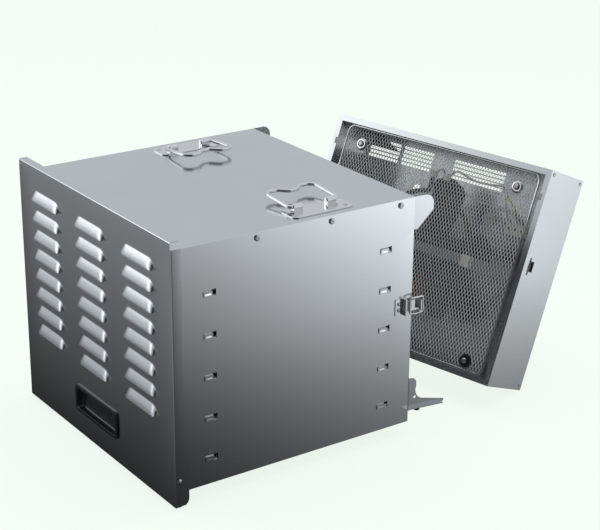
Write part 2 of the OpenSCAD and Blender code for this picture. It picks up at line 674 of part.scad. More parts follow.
// Laminated core of the shaded-pole motor, bored for its rotor
module motor_core() color("dimgray") unit_frame() difference() {
    block([-30, motor_y - 6, fan_z - 74], [42, motor_y + 14, fan_z + 26]);
    translate([0, motor_y + 20, fan_z]) rotate([90, 0, 0]) cylinder(h = 40, r = 16);
    block([-14, motor_y - 8, fan_z - 56], [26, motor_y + 16, fan_z - 26]);
}
module motor_winding() color("peru") unit_frame() difference() {
    block([-13.5, motor_y - 14, fan_z - 81], [25.5, motor_y + 18, fan_z - 43]);
    block([-40, motor_y - 6.05, fan_z - 74.05], [60, motor_y + 14.05, fan_z - 55.95]);
}
module fan_rotor_shaft() color("silver") unit_frame() {
    translate([0, motor_y + 13, fan_z]) rotate([90, 0, 0]) cylinder(h = 18, r = 15.4);
    translate([0, motor_y + 18, fan_z]) rotate([90, 0, 0]) cylinder(h = 58, r = 3);
}
// Five pitched blades on a round hub
module fan_impeller() color("black") unit_frame() translate([0, 47, fan_z]) rotate([90, 0, 0]) difference() {
    union() {
        translate([0, 0, -9]) cylinder(h = 18, r = 18);
        for (a = [0:72:288]) rotate(a) translate([14, 0, 0]) rotate([28, 0, 0])
            translate([0, -19, -0.8]) linear_extrude(1.6)
            polygon([[0, 8], [40, 0], [fan_dia / 2 - 20, 2], [fan_dia / 2 - 14.5, 12], [fan_dia / 2 - 15, 34],
                     [fan_dia / 2 - 24, 40], [40, 36], [0, 28]]);
    }
    translate([0, 0, -12]) cylinder(h = 30, r = 3.05);
}
module thermal_cutout() color("ivory") unit_frame() translate([64, unit_d - sheet, 236]) rotate([90, 0, 0]) {
    cylinder(h = 6, r = 9);
    translate([0, 0, 6]) cylinder(h = 3, r = 7);
    for (s = [-1, 1]) translate([s * 4 - 0.4, -3, 6]) cube([0.8, 6, 12]);
}
module terminal_block() color("white") unit_frame() difference() {
    block([102, unit_d - sheet - 16, 222], [150, unit_d - sheet, 240]);
    for (i = [0:3]) translate([109 + i * 11.4, unit_d - 6, 231]) rotate([90, 0, 0]) cylinder(h = 20, r = 2.4);
}
// Insulated leads inside the housing
supply_route = [[108, 88, 241.8], [107, 74, 246], [110, 56, 262], [112, 42, 278], [106, 36, 288], [86, 34, 286],
                [60, 34, 285], [38, 34, 289], [24, 36, 292], [15, 38, 289], [12.3, heater_y + 8, 281]];
heater_route = [[119, 88, 241.8], [96, 84, 256], [50, 72, 258], [0, 64, 270], [-10, 54, 285], [-12.3, 44, 289],
                [-12.3, heater_y + 8, 281]];
earth_route = [[131, 88, 241.8], [136, 66, 244], [138, 46, 250], [134, 38, 262], [126, 36, 270], [118, 38, 276]];
module white_leads() color("white") unit_frame() {
    lead(supply_route);
    lead(heater_route);
}
module earth_lead() color("yellowgreen") unit_frame() lead(earth_route);

// Insulated lead, a tube swept along its route
lead_r = 1.6;
module lead(route) {
    swept_rod(route, lead_r, 8);
}

// Box on the rear panel for the thermostat, timer and switch; it also props the leaning unit
box_x = [-20, 150];
box_z = [20.6, 132];
box_d = 50;
module control_box() color("lightgray") unit_frame() {
    difference() {
        block([box_x[0], unit_d, box_z[0]], [box_x[1], unit_d + box_d, box_z[1]]);
        block([box_x[0] + sheet, unit_d - 1, box_z[0] + sheet], [box_x[1] - sheet, unit_d + box_d - sheet, box_z[1] - sheet]);
        block([switch_x - 9.7, unit_d + box_d - 4, switch_z - 13.7], [switch_x + 9.7, unit_d + box_d + 2, switch_z + 13.7]);
        for (x = knob_xs) translate([x, unit_d + box_d + 1, knob_z]) rotate([90, 0, 0]) cylinder(h = 4, r = 3.4);
        translate([lamp_x, unit_d + box_d + 1, lamp_z]) rotate([90, 0, 0]) cylinder(h = 4, r = 4);
        block([box_x[1] - 3, unit_d + 12, inlet_z - 12], [box_x[1] + 2, unit_d + 38, inlet_z + 12]);
    }
}
knob_xs = [14, 62];
knob_z = 92;
switch_x = 108;
switch_z = 92;
lamp_x = 108;
lamp_z = 56;
inlet_z = 60;
// Round knob with a pointer rib and a spindle stub that turns in the box
module control_knob(x) unit_frame() translate([x, unit_d + box_d + 0.4, knob_z]) rotate([-90, 0, 0]) {
    cylinder(h = 4, r = 19);
    cylinder(h = 15, r1 = 15.5, r2 = 13.5);
    translate([-2, -14, 14]) cube([4, 26, 2.6]);
    translate([0, 0, -8]) cylinder(h = 8.5, r = 3.35);
}
module thermostat_knob() color("black") control_knob(knob_xs[0]);
module timer_knob() color("black") control_knob(knob_xs[1]);
module switch_bezel() color("black") unit_frame() {
    difference() {
        union() {
            block([switch_x - 12, unit_d + box_d, switch_z - 16], [switch_x + 12, unit_d + box_d + 1.8, switch_z + 16]);
            block([switch_x - 9.6, unit_d + box_d - 16, switch_z - 13.6],
                  [switch_x + 9.6, unit_d + box_d + 1, switch_z + 13.6]);
        }
        block([switch_x - 7.2, unit_d + box_d - 12, switch_z - 11.2],
              [switch_x + 7.2, unit_d + box_d + 4, switch_z + 11.2]);
    }
    translate([switch_x - 8, unit_d + box_d - 4.5, switch_z]) rotate([0, 90, 0]) cylinder(h = 16, r = 1.35);
}
// Rocker that tips about a pin across the bezel
module power_rocker() color("red") unit_frame() difference() {
    translate([switch_x - 6.8, unit_d + box_d - 6, switch_z]) rotate([90, 0, 90]) linear_extrude(13.6)
        polygon([[-3, -7.5], [6, -9.6], [9.2, -9.4], [7.8, 0], [6.6, 9.4], [3, 9.6], [-3, 7.5]]);
    translate([switch_x - 8, unit_d + box_d - 4.5, switch_z]) rotate([0, 90, 0]) cylinder(h = 20, r = 1.4);
}
module pilot_lamp() color("orangered") unit_frame() translate([lamp_x, unit_d + box_d, lamp_z]) rotate([-90, 0, 0]) {
    cylinder(h = 2, r = 5.5);
    translate([0, 0, 2]) cylinder(h = 2.4, r1 = 4.4, r2 = 3);
    translate([0, 0, -12]) cylinder(h = 12, r = 3.9);
}
// Three-pin appliance inlet on the side of the control box
module power_inlet() color("black") unit_frame() difference() {
    union() {
        block([box_x[1], unit_d + 8, inlet_z - 16], [box_x[1] + 2.5, unit_d + 42, inlet_z + 16]);
        block([box_x[1] - 20, unit_d + 12.2, inlet_z - 11.8], [box_x[1] + 0.5, unit_d + 37.8, inlet_z + 11.8]);
    }
    difference() {
        block([box_x[1] - 16, unit_d + 15, inlet_z - 9], [box_x[1] + 4, unit_d + 35, inlet_z + 9]);
        for (p = [[-5, 4], [5, 4], [0, -4]])
            block([box_x[1] - 17, unit_d + 25 + p[0] - 1, inlet_z + p[1] - 2.5],
                  [box_x[1] - 2, unit_d + 25 + p[0] + 1, inlet_z + p[1] + 2.5]);
    }
}

left_side_panel();
right_side_panel();
top_panel();
bottom_panel();
front_frame();
rear_frame();
rear_sill();
lower_guide_arms();
tray_rails_left();
tray_rails_right();
cabinet_screws();
arm_bumpers();
rubber_feet();
foot_screws();
handle_base_left();
handle_base_right();
handle_rivets();
handle_bail_left();
handle_bail_right();
latch_bases();
latch_rivets();
latch_lever_left();
latch_lever_right();
latch_bail_left();
latch_bail_right();
door_panel();
door_pull();
door_studs();
drip_tray();
wire_tray_1();
wire_tray_2();
wire_tray_3();
wire_tray_4();
wire_tray_5();
rear_housing();
rear_back_panel();
fan_guard();
guard_washers();
guard_screws();
housing_screws();
latch_keepers();
heating_element();
heater_insulators();
heater_bracket();
motor_bracket();
motor_core();
motor_winding();
fan_rotor_shaft();
fan_impeller();
thermal_cutout();
terminal_block();
white_leads();
earth_lead();
control_box();
thermostat_knob();
timer_knob();
power_rocker();
switch_bezel();
pilot_lamp();
power_inlet();
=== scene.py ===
"""Looks of a box food dehydrator: a sheet-steel drying cabinet with a louvred pull-off door,
and a fan and heater unit that stands unclipped behind it.

Shapes are worked out in millimetres, in the cabinet's own axes (X across, Y from the door's face
to the rear, Z up from the floor) or in the rear unit's (X across, Y depth from its front rim,
Z up from its lower edge), and a Place turns them into the CAD's frame, in metres.
"""
import json
import logging
import math
from dataclasses import dataclass
from enum import Enum

import bmesh
import bpy
import numpy as np
from mathutils import Matrix, Vector


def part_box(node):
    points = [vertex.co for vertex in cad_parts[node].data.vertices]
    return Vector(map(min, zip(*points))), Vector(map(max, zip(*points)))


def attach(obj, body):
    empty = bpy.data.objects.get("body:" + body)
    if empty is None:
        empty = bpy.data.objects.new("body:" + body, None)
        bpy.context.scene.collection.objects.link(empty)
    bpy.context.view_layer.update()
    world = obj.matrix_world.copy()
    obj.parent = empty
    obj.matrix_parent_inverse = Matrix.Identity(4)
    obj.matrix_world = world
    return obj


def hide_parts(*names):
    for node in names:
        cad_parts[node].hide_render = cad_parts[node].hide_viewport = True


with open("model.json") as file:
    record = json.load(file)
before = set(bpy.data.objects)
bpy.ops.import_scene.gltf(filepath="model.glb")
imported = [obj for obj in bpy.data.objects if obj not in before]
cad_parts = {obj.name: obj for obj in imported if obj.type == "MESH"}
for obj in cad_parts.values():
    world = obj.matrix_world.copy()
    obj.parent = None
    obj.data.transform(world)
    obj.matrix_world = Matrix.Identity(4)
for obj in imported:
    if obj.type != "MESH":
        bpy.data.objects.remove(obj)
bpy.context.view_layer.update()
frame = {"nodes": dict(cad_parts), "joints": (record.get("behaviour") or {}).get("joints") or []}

Array = np.ndarray
MM = 0.001
LOG = logging.getLogger("dehydrator")


class Grain(Enum):
    """The way that a sheet's rolling or brushing lines run."""

    ALONG_X = (0.02, 1.0, 1.0)
    ALONG_Y = (1.0, 0.02, 1.0)
    ALONG_Z = (1.0, 1.0, 0.02)
    NONE = (1.0, 1.0, 1.0)


class Side(Enum):
    """A side of the cabinet, with the sign of its X."""

    LEFT = -1
    RIGHT = 1

    @property
    def word(self) -> str:
        """The side's name as the CAD writes it."""
        return self.name.lower()


# ---------------------------------------------------------------- places

@dataclass(frozen=True)
class Place:
    """Takes millimetres in one set of axes to the CAD's frame, in metres."""

    matrix: Matrix

    def apply(self, points: Array) -> Array:
        """Turns and moves points.

        Args:
            points: an array of points in millimetres, its last axis three long.
        Returns:
            The points in metres, in the CAD's frame.
        """
        m = np.array(self.matrix)
        return (points * MM) @ m[:3, :3].T + m[:3, 3]


def cabinet_place() -> Place:
    """The cabinet's axes: X from the middle of its side panels, Y from the door's front face."""
    left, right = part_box("left_side_panel")[0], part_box("right_side_panel")[1]
    door_gap = 2 * MM
    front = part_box("front_frame")[0].y - door_gap
    return Place(Matrix.Translation(((left.x + right.x) / 2, front, 0)))


def unit_place(cabinet: Place) -> Place:
    """The rear unit's axes as it stands at rest: its closed place, turned back about the seat hinge."""
    seat = next(j for j in frame["joints"] if j["name"] == "rear_unit_seat")
    at = Vector(seat["pos_m"])
    lean = Matrix.Rotation(-math.radians(seat["range_deg"][1]), 4, Vector(seat["axis"]))
    closed = cabinet.matrix @ Matrix.Translation((0, 390.5 * MM, 12 * MM))
    return Place(Matrix.Translation(at) @ lean @ Matrix.Translation(-at) @ closed)


# ---------------------------------------------------------------- shapes

def unit(v: Array) -> Array:
    """Vectors scaled to length one along the last axis."""
    return v / np.maximum(np.linalg.norm(v, axis=-1, keepdims=True), 1e-12)


@dataclass
class Surface:
    """Points in millimetres and the quads between them."""

    points: Array
    quads: Array

    def moved(self, offset: tuple[float, float, float]) -> "Surface":
        """The same surface shifted by offset."""
        return Surface(self.points + np.array(offset, float), self.quads)

    def mirrored(self) -> "Surface":
        """The surface on the other side of X = 0, its faces still pointing outwards."""
        return Surface(self.points * np.array([-1.0, 1, 1]), self.quads[:, ::-1])


def joined(surfaces: list[Surface]) -> Surface:
    """Several surfaces as one, in the same order."""
    counts = np.cumsum([0] + [len(s.points) for s in surfaces])
    return Surface(np.concatenate([s.points for s in surfaces]),
                   np.concatenate([s.quads + n for s, n in zip(surfaces, counts)]))


def grid(points: Array, wrap_u: bool = False, wrap_v: bool = False, keep: Array | None = None) -> Surface:
    """Joins a grid of points into quads: point (i, j) with (i+1, j), (i+1, j+1) and (i, j+1).

    Args:
        points: an array of nu by nv points.
        wrap_u: joins the last row to the first.
        wrap_v: joins the last column to the first.
        keep: which quads are made, one flag for each cell.
    Returns:
        The surface.
    """
    nu, nv = points.shape[:2]
    i, j = np.meshgrid(np.arange(nu - (not wrap_u)), np.arange(nv - (not wrap_v)), indexing="ij")
    i2, j2 = (i + 1) % nu, (j + 1) % nv
    quads = np.stack([i * nv + j, i2 * nv + j, i2 * nv + j2, i * nv + j2], -1)
    quads = quads.reshape(-1, 4) if keep is None else quads[keep]
    return Surface(points.reshape(-1, 3), quads)


def eased(corners: Array, cut: float, steps: int = 6) -> Array:
    """A path whose inner corners are curves: (1-t)^2 a + 2t(1-t) corner + t^2 b, a and b a cut away from it.

    Args:
        corners: the path's corner points.
        cut: how far from a corner its curve starts.
        steps: points on each curve.
    Returns:
        The path's points, its ends unmoved.
    """
    inner = corners[1:-1]
    a = inner + cut * unit(corners[:-2] - inner)
    b = inner + cut * unit(corners[2:] - inner)
    t = np.linspace(0, 1, steps)[None, :, None]
    curves = (1 - t) ** 2 * a[:, None] + 2 * t * (1 - t) * inner[:, None] + t ** 2 * b[:, None]
    return np.concatenate([corners[:1], curves.reshape(-1, 3), corners[-1:]])


def smooth_route(points: Array, steps: int = 8) -> Array:
    """A Catmull-Rom curve through every point, with steps points from each to the next."""
    p = np.concatenate([2 * points[:1] - points[1:2], points, 2 * points[-1:] - points[-2:-1]])
    t = np.linspace(0, 1, steps, endpoint=False)[None, :, None]
    p0, p1, p2, p3 = (p[k:len(p) - 3 + k][:, None] for k in range(4))
    curve = 0.5 * (2 * p1 + (p2 - p0) * t + (2 * p0 - 5 * p1 + 4 * p2 - p3) * t ** 2
                   + (3 * p1 - p0 - 3 * p2 + p3) * t ** 3)
    return np.concatenate([curve.reshape(-1, 3), points[-1:]])


def sweep(path: Array, section: Array, closed: bool = False, upright: Array | None = None) -> Surface:
    """Carries a closed section along a path: section point (a, b) at path point p is p + a*side + b*up.

    Args:
        path: the path's points.
        section: the section's points, two numbers each, anticlockwise.
        closed: the path ends where it starts.
        upright: a direction that stays in the section's plane, or None to carry it without twist.
    Returns:
        The surface, with its open ends drawn together to a point at each end of the path.
    """
    ahead = np.roll(path, -1, 0) - np.roll(path, 1, 0) if closed else np.gradient(path, axis=0)
    ahead = unit(ahead)
    if upright is not None:
        side = unit(np.cross(ahead, upright))
    else:
        side = np.empty_like(ahead)
        carried = np.cross(ahead[0], [0.31, 0.17, 0.93])
        for k, heading in enumerate(ahead):
            carried = unit(carried - carried @ heading * heading)
            side[k] = carried
    up = np.cross(side, ahead)
    rings = path[:, None] + section[None, :, :1] * side[:, None] + section[None, :, 1:] * up[:, None]
    if not closed:
        ends = [np.repeat(path[[k]], len(section), 0)[None] for k in (0, -1)]
        rings = np.concatenate([ends[0], rings, ends[1]])
    return grid(rings, wrap_u=closed, wrap_v=True)


def circle(radius: float, steps: int = 16) -> Array:
    """A circle's points: radius * (cos a, sin a)."""
    a = np.linspace(0, 2 * np.pi, steps, endpoint=False)
    return radius * np.stack([np.cos(a), np.sin(a)], -1)


def rounded_box(half_w: float, half_h: float, radius: float, steps: int = 6) -> Array:
    """A rounded rectangle, anticlockwise: each corner's centre plus radius * (cos a, sin a)."""
    quarter = np.linspace(0, np.pi / 2, steps)
    corners = [(1, 1, 0), (-1, 1, 1), (-1, -1, 2), (1, -1, 3)]
    return np.concatenate([
        np.array([sx * (half_w - radius), sy * (half_h - radius)])
        + radius * np.stack([np.cos(quarter + k * np.pi / 2), np.sin(quarter + k * np.pi / 2)], -1)
        for sx, sy, k in corners])


def turned(profile: Array, steps: int = 48) -> Surface:
    """A profile of (radius, height) turned about Z: (r cos a, r sin a, h). It is listed from bottom to top."""
    a = np.linspace(0, 2 * np.pi, steps, endpoint=False)[:, None]
    r, h = profile[:, 0][None], profile[:, 1][None]
    points = np.stack([r * np.cos(a), r * np.sin(a), np.broadcast_to(h, (steps, len(profile)))], -1)
    return grid(points, wrap_u=True)


# ---------------------------------------------------------------- finishes

def srgb(code: str) -> tuple[float, float, float, float]:
    """A hex colour as linear red, green, blue and alpha."""
    channels = [int(code.lstrip("#")[k:k + 2], 16) / 255 for k in (0, 2, 4)]
    return (*[c / 12.92 if c <= 0.04045 else ((c + 0.055) / 1.055) ** 2.4 for c in channels], 1.0)


def add_node(tree: bpy.types.NodeTree, kind: str, values: dict | None = None,
             links: dict | None = None, **settings: object) -> bpy.types.Node:
    """Adds one shader node.

    Args:
        tree: the node tree.
        kind: the node's type name.
        values: socket name or number to the constant that it holds.
        links: socket name or number to the output that feeds it.
        settings: the node's own properties.
    Returns:
        The node.
    """
    node = tree.nodes.new(kind)
    for key, value in settings.items():
        setattr(node, key, value)
    for socket, value in (values or {}).items():
        node.inputs[socket].default_value = value
    for socket, source in (links or {}).items():
        tree.links.new(source, node.inputs[socket])
    return node


@dataclass(frozen=True)
class Finish:
    """A surface made of one stuff: its name, its two close shades and its roughness range."""

    name: str
    light: str
    dark: str
    smooth: float
    rough: float
    metallic: float = 1.0
    grain_mm: float = 0.6
    grain: Grain = Grain.NONE
    cloud_mm: float = 90.0
    bump: float = 0.15
    bump_mm: float = 0.02
    coat: float = 0.0

    def material(self) -> bpy.types.Material:
        """The finish as a material, made once: fine grain sets roughness and bump, a slow cloud the shade."""
        made = bpy.data.materials.get(self.name)
        if made:
            return made
        made = bpy.data.materials.new(self.name)
        made.use_nodes = True
        tree = made.node_tree
        tree.nodes.clear()
        self.nodes(tree)
        return made

    def nodes(self, tree: bpy.types.NodeTree) -> None:
        """Fills the tree with the finish's nodes."""
        place = add_node(tree, "ShaderNodeTexCoord").outputs["Object"]
        per_metre = 1 / (self.grain_mm * MM)
        fine = add_node(tree, "ShaderNodeMapping", {"Scale": tuple(per_metre * s for s in self.grain.value)},
                        {"Vector": place})
        grit = add_node(tree, "ShaderNodeTexNoise", {"Scale": 1.0, "Detail": 3.0}, {"Vector": fine.outputs[0]})
        cloud = add_node(tree, "ShaderNodeTexNoise", {"Scale": 1 / (self.cloud_mm * MM), "Detail": 4.0},
                         {"Vector": place})
        mixed = add_node(tree, "ShaderNodeMath", {1: 0.5}, {0: grit.outputs["Fac"]}, operation="MULTIPLY")
        worn = add_node(tree, "ShaderNodeMath", {1: 0.5}, {0: cloud.outputs["Fac"], 2: mixed.outputs[0]},
                        operation="MULTIPLY_ADD")
        rough = add_node(tree, "ShaderNodeMapRange", {"From Min": 0.3, "From Max": 0.7, "To Min": self.smooth,
                                                      "To Max": self.rough}, {"Value": worn.outputs[0]})
        shade = self.shade(tree, worn.outputs[0])
        bump = add_node(tree, "ShaderNodeBump", {"Strength": self.bump, "Distance": self.bump_mm * MM},
                        {"Height": grit.outputs["Fac"]})
        shader = add_node(tree, "ShaderNodeBsdfPrincipled",
                          {"Metallic": self.metallic, "Coat Weight": self.coat},
                          {"Base Color": shade, "Roughness": rough.outputs[0], "Normal": bump.outputs[0]})
        add_node(tree, "ShaderNodeOutputMaterial", links={"Surface": shader.outputs[0]})

    def shade(self, tree: bpy.types.NodeTree, worn: bpy.types.NodeSocket) -> bpy.types.NodeSocket:
        """The colour between the light and the dark shade."""
        mix = tree.nodes.new("ShaderNodeMix")
        mix.data_type = "RGBA"
        colours = [s for s in mix.inputs if s.type == "RGBA"]
        colours[0].default_value = srgb(self.light)
        colours[1].default_value = srgb(self.dark)
        tree.links.new(worn, mix.inputs[0])
        return next(s for s in mix.outputs if s.type == "RGBA")


@dataclass(frozen=True)
class EarthLead(Finish):
    """Silicone insulation with a yellow stripe along green."""

    def shade(self, tree: bpy.types.NodeTree, worn: bpy.types.NodeSocket) -> bpy.types.NodeSocket:
        """Yellow and green in turns of 5 mm, as the twisted stripe shows from one side."""
        place = add_node(tree, "ShaderNodeTexCoord").outputs["Object"]
        stripe = add_node(tree, "ShaderNodeTexWave", {"Scale": 40.0, "Distortion": 2.0}, {"Vector": place},
                          bands_direction="DIAGONAL")
        ramp = add_node(tree, "ShaderNodeValToRGB", links={"Fac": stripe.outputs["Fac"]})
        ramp.color_ramp.interpolation = "CONSTANT"
        ramp.color_ramp.elements[0].color = srgb(self.light)
        ramp.color_ramp.elements[1].color = srgb(self.dark)
        ramp.color_ramp.elements[1].position = 0.5
        return ramp.outputs["Color"]


# Satin stainless sheet, rolled and lightly brushed: grey, with soft stretched reflections.
SHEET_STEEL = Finish("satin_stainless_side", "#D9DCDE", "#CFD2D5", 0.14, 0.21, grain=Grain.ALONG_Y)
TOP_STEEL = Finish("satin_stainless_top", "#D4D7DA", "#C6C9CC", 0.10, 0.17, grain=Grain.ALONG_Y, bump=0.05)
DOOR_STEEL = Finish("satin_stainless_door", "#D2D5D8", "#C8CBCE", 0.15, 0.22, grain=Grain.ALONG_X)
UNIT_STEEL = Finish("satin_stainless_housing", "#D6D9DB", "#C8CBCD", 0.20, 0.30, grain=Grain.ALONG_Z)
RAIL_STEEL = Finish("bright_stainless_rail", "#D6D8DA", "#C4C7C9", 0.18, 0.30, grain=Grain.ALONG_Y)
# Bright nickel plate on wire and pressings: almost a mirror, with small dull patches.
NICKEL = Finish("bright_nickel_plate", "#E6E7E8", "#D4D5D6", 0.05, 0.14, grain_mm=1.5, cloud_mm=12, bump=0.06)
# Turned screw and rivet heads, duller than the plated wire.
FASTENER = Finish("machined_stainless_head", "#D0D1D3", "#B4B6B8", 0.16, 0.30, grain_mm=0.8, cloud_mm=6)
# Expanded stainless, its cut strands dulled by handling, so that it scatters light from all round.
MESH_STEEL = Finish("expanded_stainless_mesh", "#ECEEF0", "#D2D5D7", 0.34, 0.50, 0.25, grain_mm=1.2,
                    cloud_mm=40)
# Plain metals inside the unit: zinc-plated straps, a ground shaft, varnished iron, enamelled wire, a hot sheath.
ZINC = Finish("zinc_plated_strap", "#B9BCBE", "#9A9DA0", 0.30, 0.45, grain_mm=1.0, cloud_mm=15)
SHAFT = Finish("ground_steel_shaft", "#C9CBCC", "#B7B9BA", 0.12, 0.22, grain=Grain.NONE, cloud_mm=10)
CORE = Finish("varnished_laminations", "#4A4744", "#34312F", 0.35, 0.55, metallic=0.6, grain_mm=0.5,
              grain=Grain.ALONG_X, cloud_mm=20, bump=0.6, bump_mm=0.1)
COPPER = Finish("enamelled_copper_winding", "#B36A3C", "#7F4324", 0.22, 0.38, grain_mm=0.7, grain=Grain.ALONG_X,
                cloud_mm=14, bump=0.8, bump_mm=0.2)
HEATER = Finish("heat_tinted_sheath", "#6E5648", "#3C3432", 0.30, 0.50, grain_mm=1.0, cloud_mm=18)
# Moulded black plastic: glossy where it is pressed against a polished mould, dull where it is textured.
PULL_PLASTIC = Finish("glossy_black_moulding", "#1B1C1E", "#101113", 0.16, 0.28, 0.0, 0.8, bump=0.08)
KNOB_PLASTIC = Finish("matt_black_moulding", "#1D1D1F", "#121214", 0.42, 0.56, 0.0, 0.5, bump=0.4,
                      bump_mm=0.05)
ROCKER_RED = Finish("red_rocker_moulding", "#A5201C", "#861712", 0.20, 0.32, 0.0, 0.6, bump=0.05)
RUBBER = Finish("black_moulded_rubber", "#1A1A1A", "#0E0E0E", 0.55, 0.75, 0.0, 0.5, bump=0.5, bump_mm=0.06)
# Glazed ceramic and plain nylon insulators, baked paint on the blades, silicone over the leads, a lamp's lens.
CERAMIC = Finish("glazed_white_ceramic", "#EEEAE0", "#DDD7C8", 0.12, 0.25, 0.0, 1.2, bump=0.05)
NYLON = Finish("natural_nylon", "#EDEBE2", "#DCD8CB", 0.35, 0.48, 0.0, 0.8, bump=0.15)
BLADE_PAINT = Finish("black_baked_paint", "#1E2022", "#131416", 0.30, 0.45, 0.0, 1.0, bump=0.25, bump_mm=0.05)
WHITE_LEAD = Finish("white_silicone_lead", "#ECECE8", "#D9D9D3", 0.35, 0.50, 0.0, 0.8, bump=0.1)
EARTH_LEAD = EarthLead("green_yellow_lead", "#4F7A22", "#D8D23A", 0.35, 0.50, 0.0, 0.8, bump=0.1)
AMBER = Finish("amber_lamp_lens", "#E0701C", "#B8490F", 0.08, 0.16, 0.0, 1.5, bump=0.05, coat=0.5)


# ---------------------------------------------------------------- making pieces


def add_piece(name: str, surface: Surface, place: Place, finish: Finish, body: str,
              replaces: tuple[str, ...] = (), sharp_deg: float = 35.0) -> bpy.types.Object:
    """Puts a surface into the scene as a finished piece.

    Args:
        name: the piece's name.
        surface: its shape in millimetres.
        place: the axes that the shape is written in.
        finish: what it is made of.
        body: the CAD body that it rides on.
        replaces: the CAD nodes that it stands for, which are hidden.
        sharp_deg: edges that turn further than this stay sharp.
    Returns:
        The object.
    """
    mesh = bpy.data.meshes.new(name)
    mesh.from_pydata(place.apply(surface.points).tolist(), [], surface.quads.tolist())
    weld(mesh)
    piece = bpy.data.objects.new(name, mesh)
    bpy.context.scene.collection.objects.link(piece)
    mesh.materials.append(finish.material())
    smooth(mesh, sharp_deg)
    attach(piece, body)
    if replaces:
        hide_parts(*replaces)
    LOG.info("%s: %d faces on %s", name, len(mesh.polygons), body)
    return piece


def weld(mesh: bpy.types.Mesh, gap: float = 2e-6) -> None:
    """Joins points that lie within gap metres and drops faces that fold to nothing."""
    made = bmesh.new()
    made.from_mesh(mesh)
    bmesh.ops.remove_doubles(made, verts=made.verts, dist=gap)
    bmesh.ops.dissolve_degenerate(made, edges=made.edges, dist=gap)
    made.to_mesh(mesh)
    made.free()


def smooth(mesh: bpy.types.Mesh, sharp_deg: float) -> None:
    """Smooth shading, with edges that turn further than sharp_deg kept sharp."""
    mesh.polygons.foreach_set("use_smooth", np.ones(len(mesh.polygons), bool))
    mesh.set_sharp_from_angle(angle=math.radians(sharp_deg))


def thicken(piece: bpy.types.Object, sheet_mm: float, sharp_deg: float) -> None:
    """Gives a one-sided surface the thickness of its sheet, behind its face, and squares its cut edges."""
    wall = piece.modifiers.new("sheet_thickness", "SOLIDIFY")
    wall.thickness = sheet_mm * MM
    wall.offset = -1
    made = bpy.data.meshes.new_from_object(piece.evaluated_get(bpy.context.evaluated_depsgraph_get()))
    piece.modifiers.clear()
    piece.data = made
    smooth(made, sharp_deg)


def dress(finish: Finish, *nodes: str) -> None:
    """Gives carried-over CAD nodes their finish."""
    for name in nodes:
        mesh = frame["nodes"][name].data
        mesh.materials.clear()
        mesh.materials.append(finish.material())


def softened(node: str, finish: Finish, body: str, width_mm: float = 0.35) -> bpy.types.Object:
    """Stands a welded copy of a CAD node in its place, its sharp edges broken by a small bevel.

    Args:
        node: the CAD node.
        finish: what it is made of.
        body: the CAD body that it rides on.
        width_mm: the bevel's width.
    Returns:
        The object.
    """
    mesh = frame["nodes"][node].data.copy()
    mesh.name = node + "_pressed"
    weld(mesh, 1e-5)
    made = bmesh.new()
    made.from_mesh(mesh)
    bmesh.ops.dissolve_limit(made, angle_limit=math.radians(0.6), verts=made.verts, edges=made.edges)
    made.to_mesh(mesh)
    made.free()
    mesh.materials.clear()
    mesh.materials.append(finish.material())
    piece = bpy.data.objects.new(node + "_pressed", mesh)
    bpy.context.scene.collection.objects.link(piece)
    smooth(mesh, 25)
    bevel = piece.modifiers.new("broken_edges", "BEVEL")
    bevel.width = width_mm * MM
    bevel.segments = 2
    bevel.limit_method = "ANGLE"
    bevel.angle_limit = math.radians(40)
    bevel.harden_normals = False
    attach(piece, body)
    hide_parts(node)
    return piece


# ---------------------------------------------------------------- cabinet

@dataclass
class Cabinet:
    """The drying cabinet's sheets, frames, rails, feet and fasteners."""

    edge_mm: float = 0.4
    half_w: float = 200.0
    slots_y: tuple[float, float] = (62.0, 342.5)
    slots_z: tuple[float, ...] = tuple(57.0 + 58 * k for k in range(5))

    def tongues(self) -> Surface:
        """The rails' hooked tongues: tilted tabs that stand out of the slots, each a small closed bulge.

        Across the tab's length s and height t, from -1 to 1, it stands out by 0.5 + 0.45 * (1 - t)
        + 0.3 * (1 - s^4) millimetres, so that its face turns upwards, and its rim lies on the panel.
        """
        s, t = np.meshgrid(np.linspace(-1, 1, 10), np.linspace(-1, 1, 7), indexing="ij")
        out = 0.5 + 0.45 * (1 - t) + 0.3 * (1 - s ** 4)
        rim = np.maximum(np.abs(s), np.abs(t)) > 0.99
        face = np.stack([self.half_w + np.where(rim, 0.0, out), 6.0 * s, 3.1 * t], -1)
        back = face * [0, 1, 1] + [self.half_w, 0, 0]
        tab = joined([grid(face), grid(back[::-1])])
        tabs = joined([tab.moved((0, y - 2.5, z - 0.4)) for y in self.slots_y for z in self.slots_z])
        return joined([tabs, tabs.mirrored()])

    def build(self, place: Place) -> None:
        """Dresses the cabinet's CAD nodes, breaks the edges of its large sheets and adds the slots' tongues."""
        tabs = add_piece("rail_tongues", self.tongues(), place, NICKEL, "cabinet")
        for node in ("left_side_panel", "right_side_panel", "bottom_panel"):
            softened(node, SHEET_STEEL, "cabinet", self.edge_mm)
        softened("top_panel", TOP_STEEL, "cabinet", self.edge_mm)
        dress(SHEET_STEEL, "front_frame", "rear_frame", "rear_sill", "drip_tray")
        dress(RAIL_STEEL, "lower_guide_arms", "tray_rails_left", "tray_rails_right")
        dress(FASTENER, "cabinet_screws", "foot_screws", "handle_rivets", "latch_rivets")
        dress(RUBBER, "rubber_feet", "arm_bumpers")


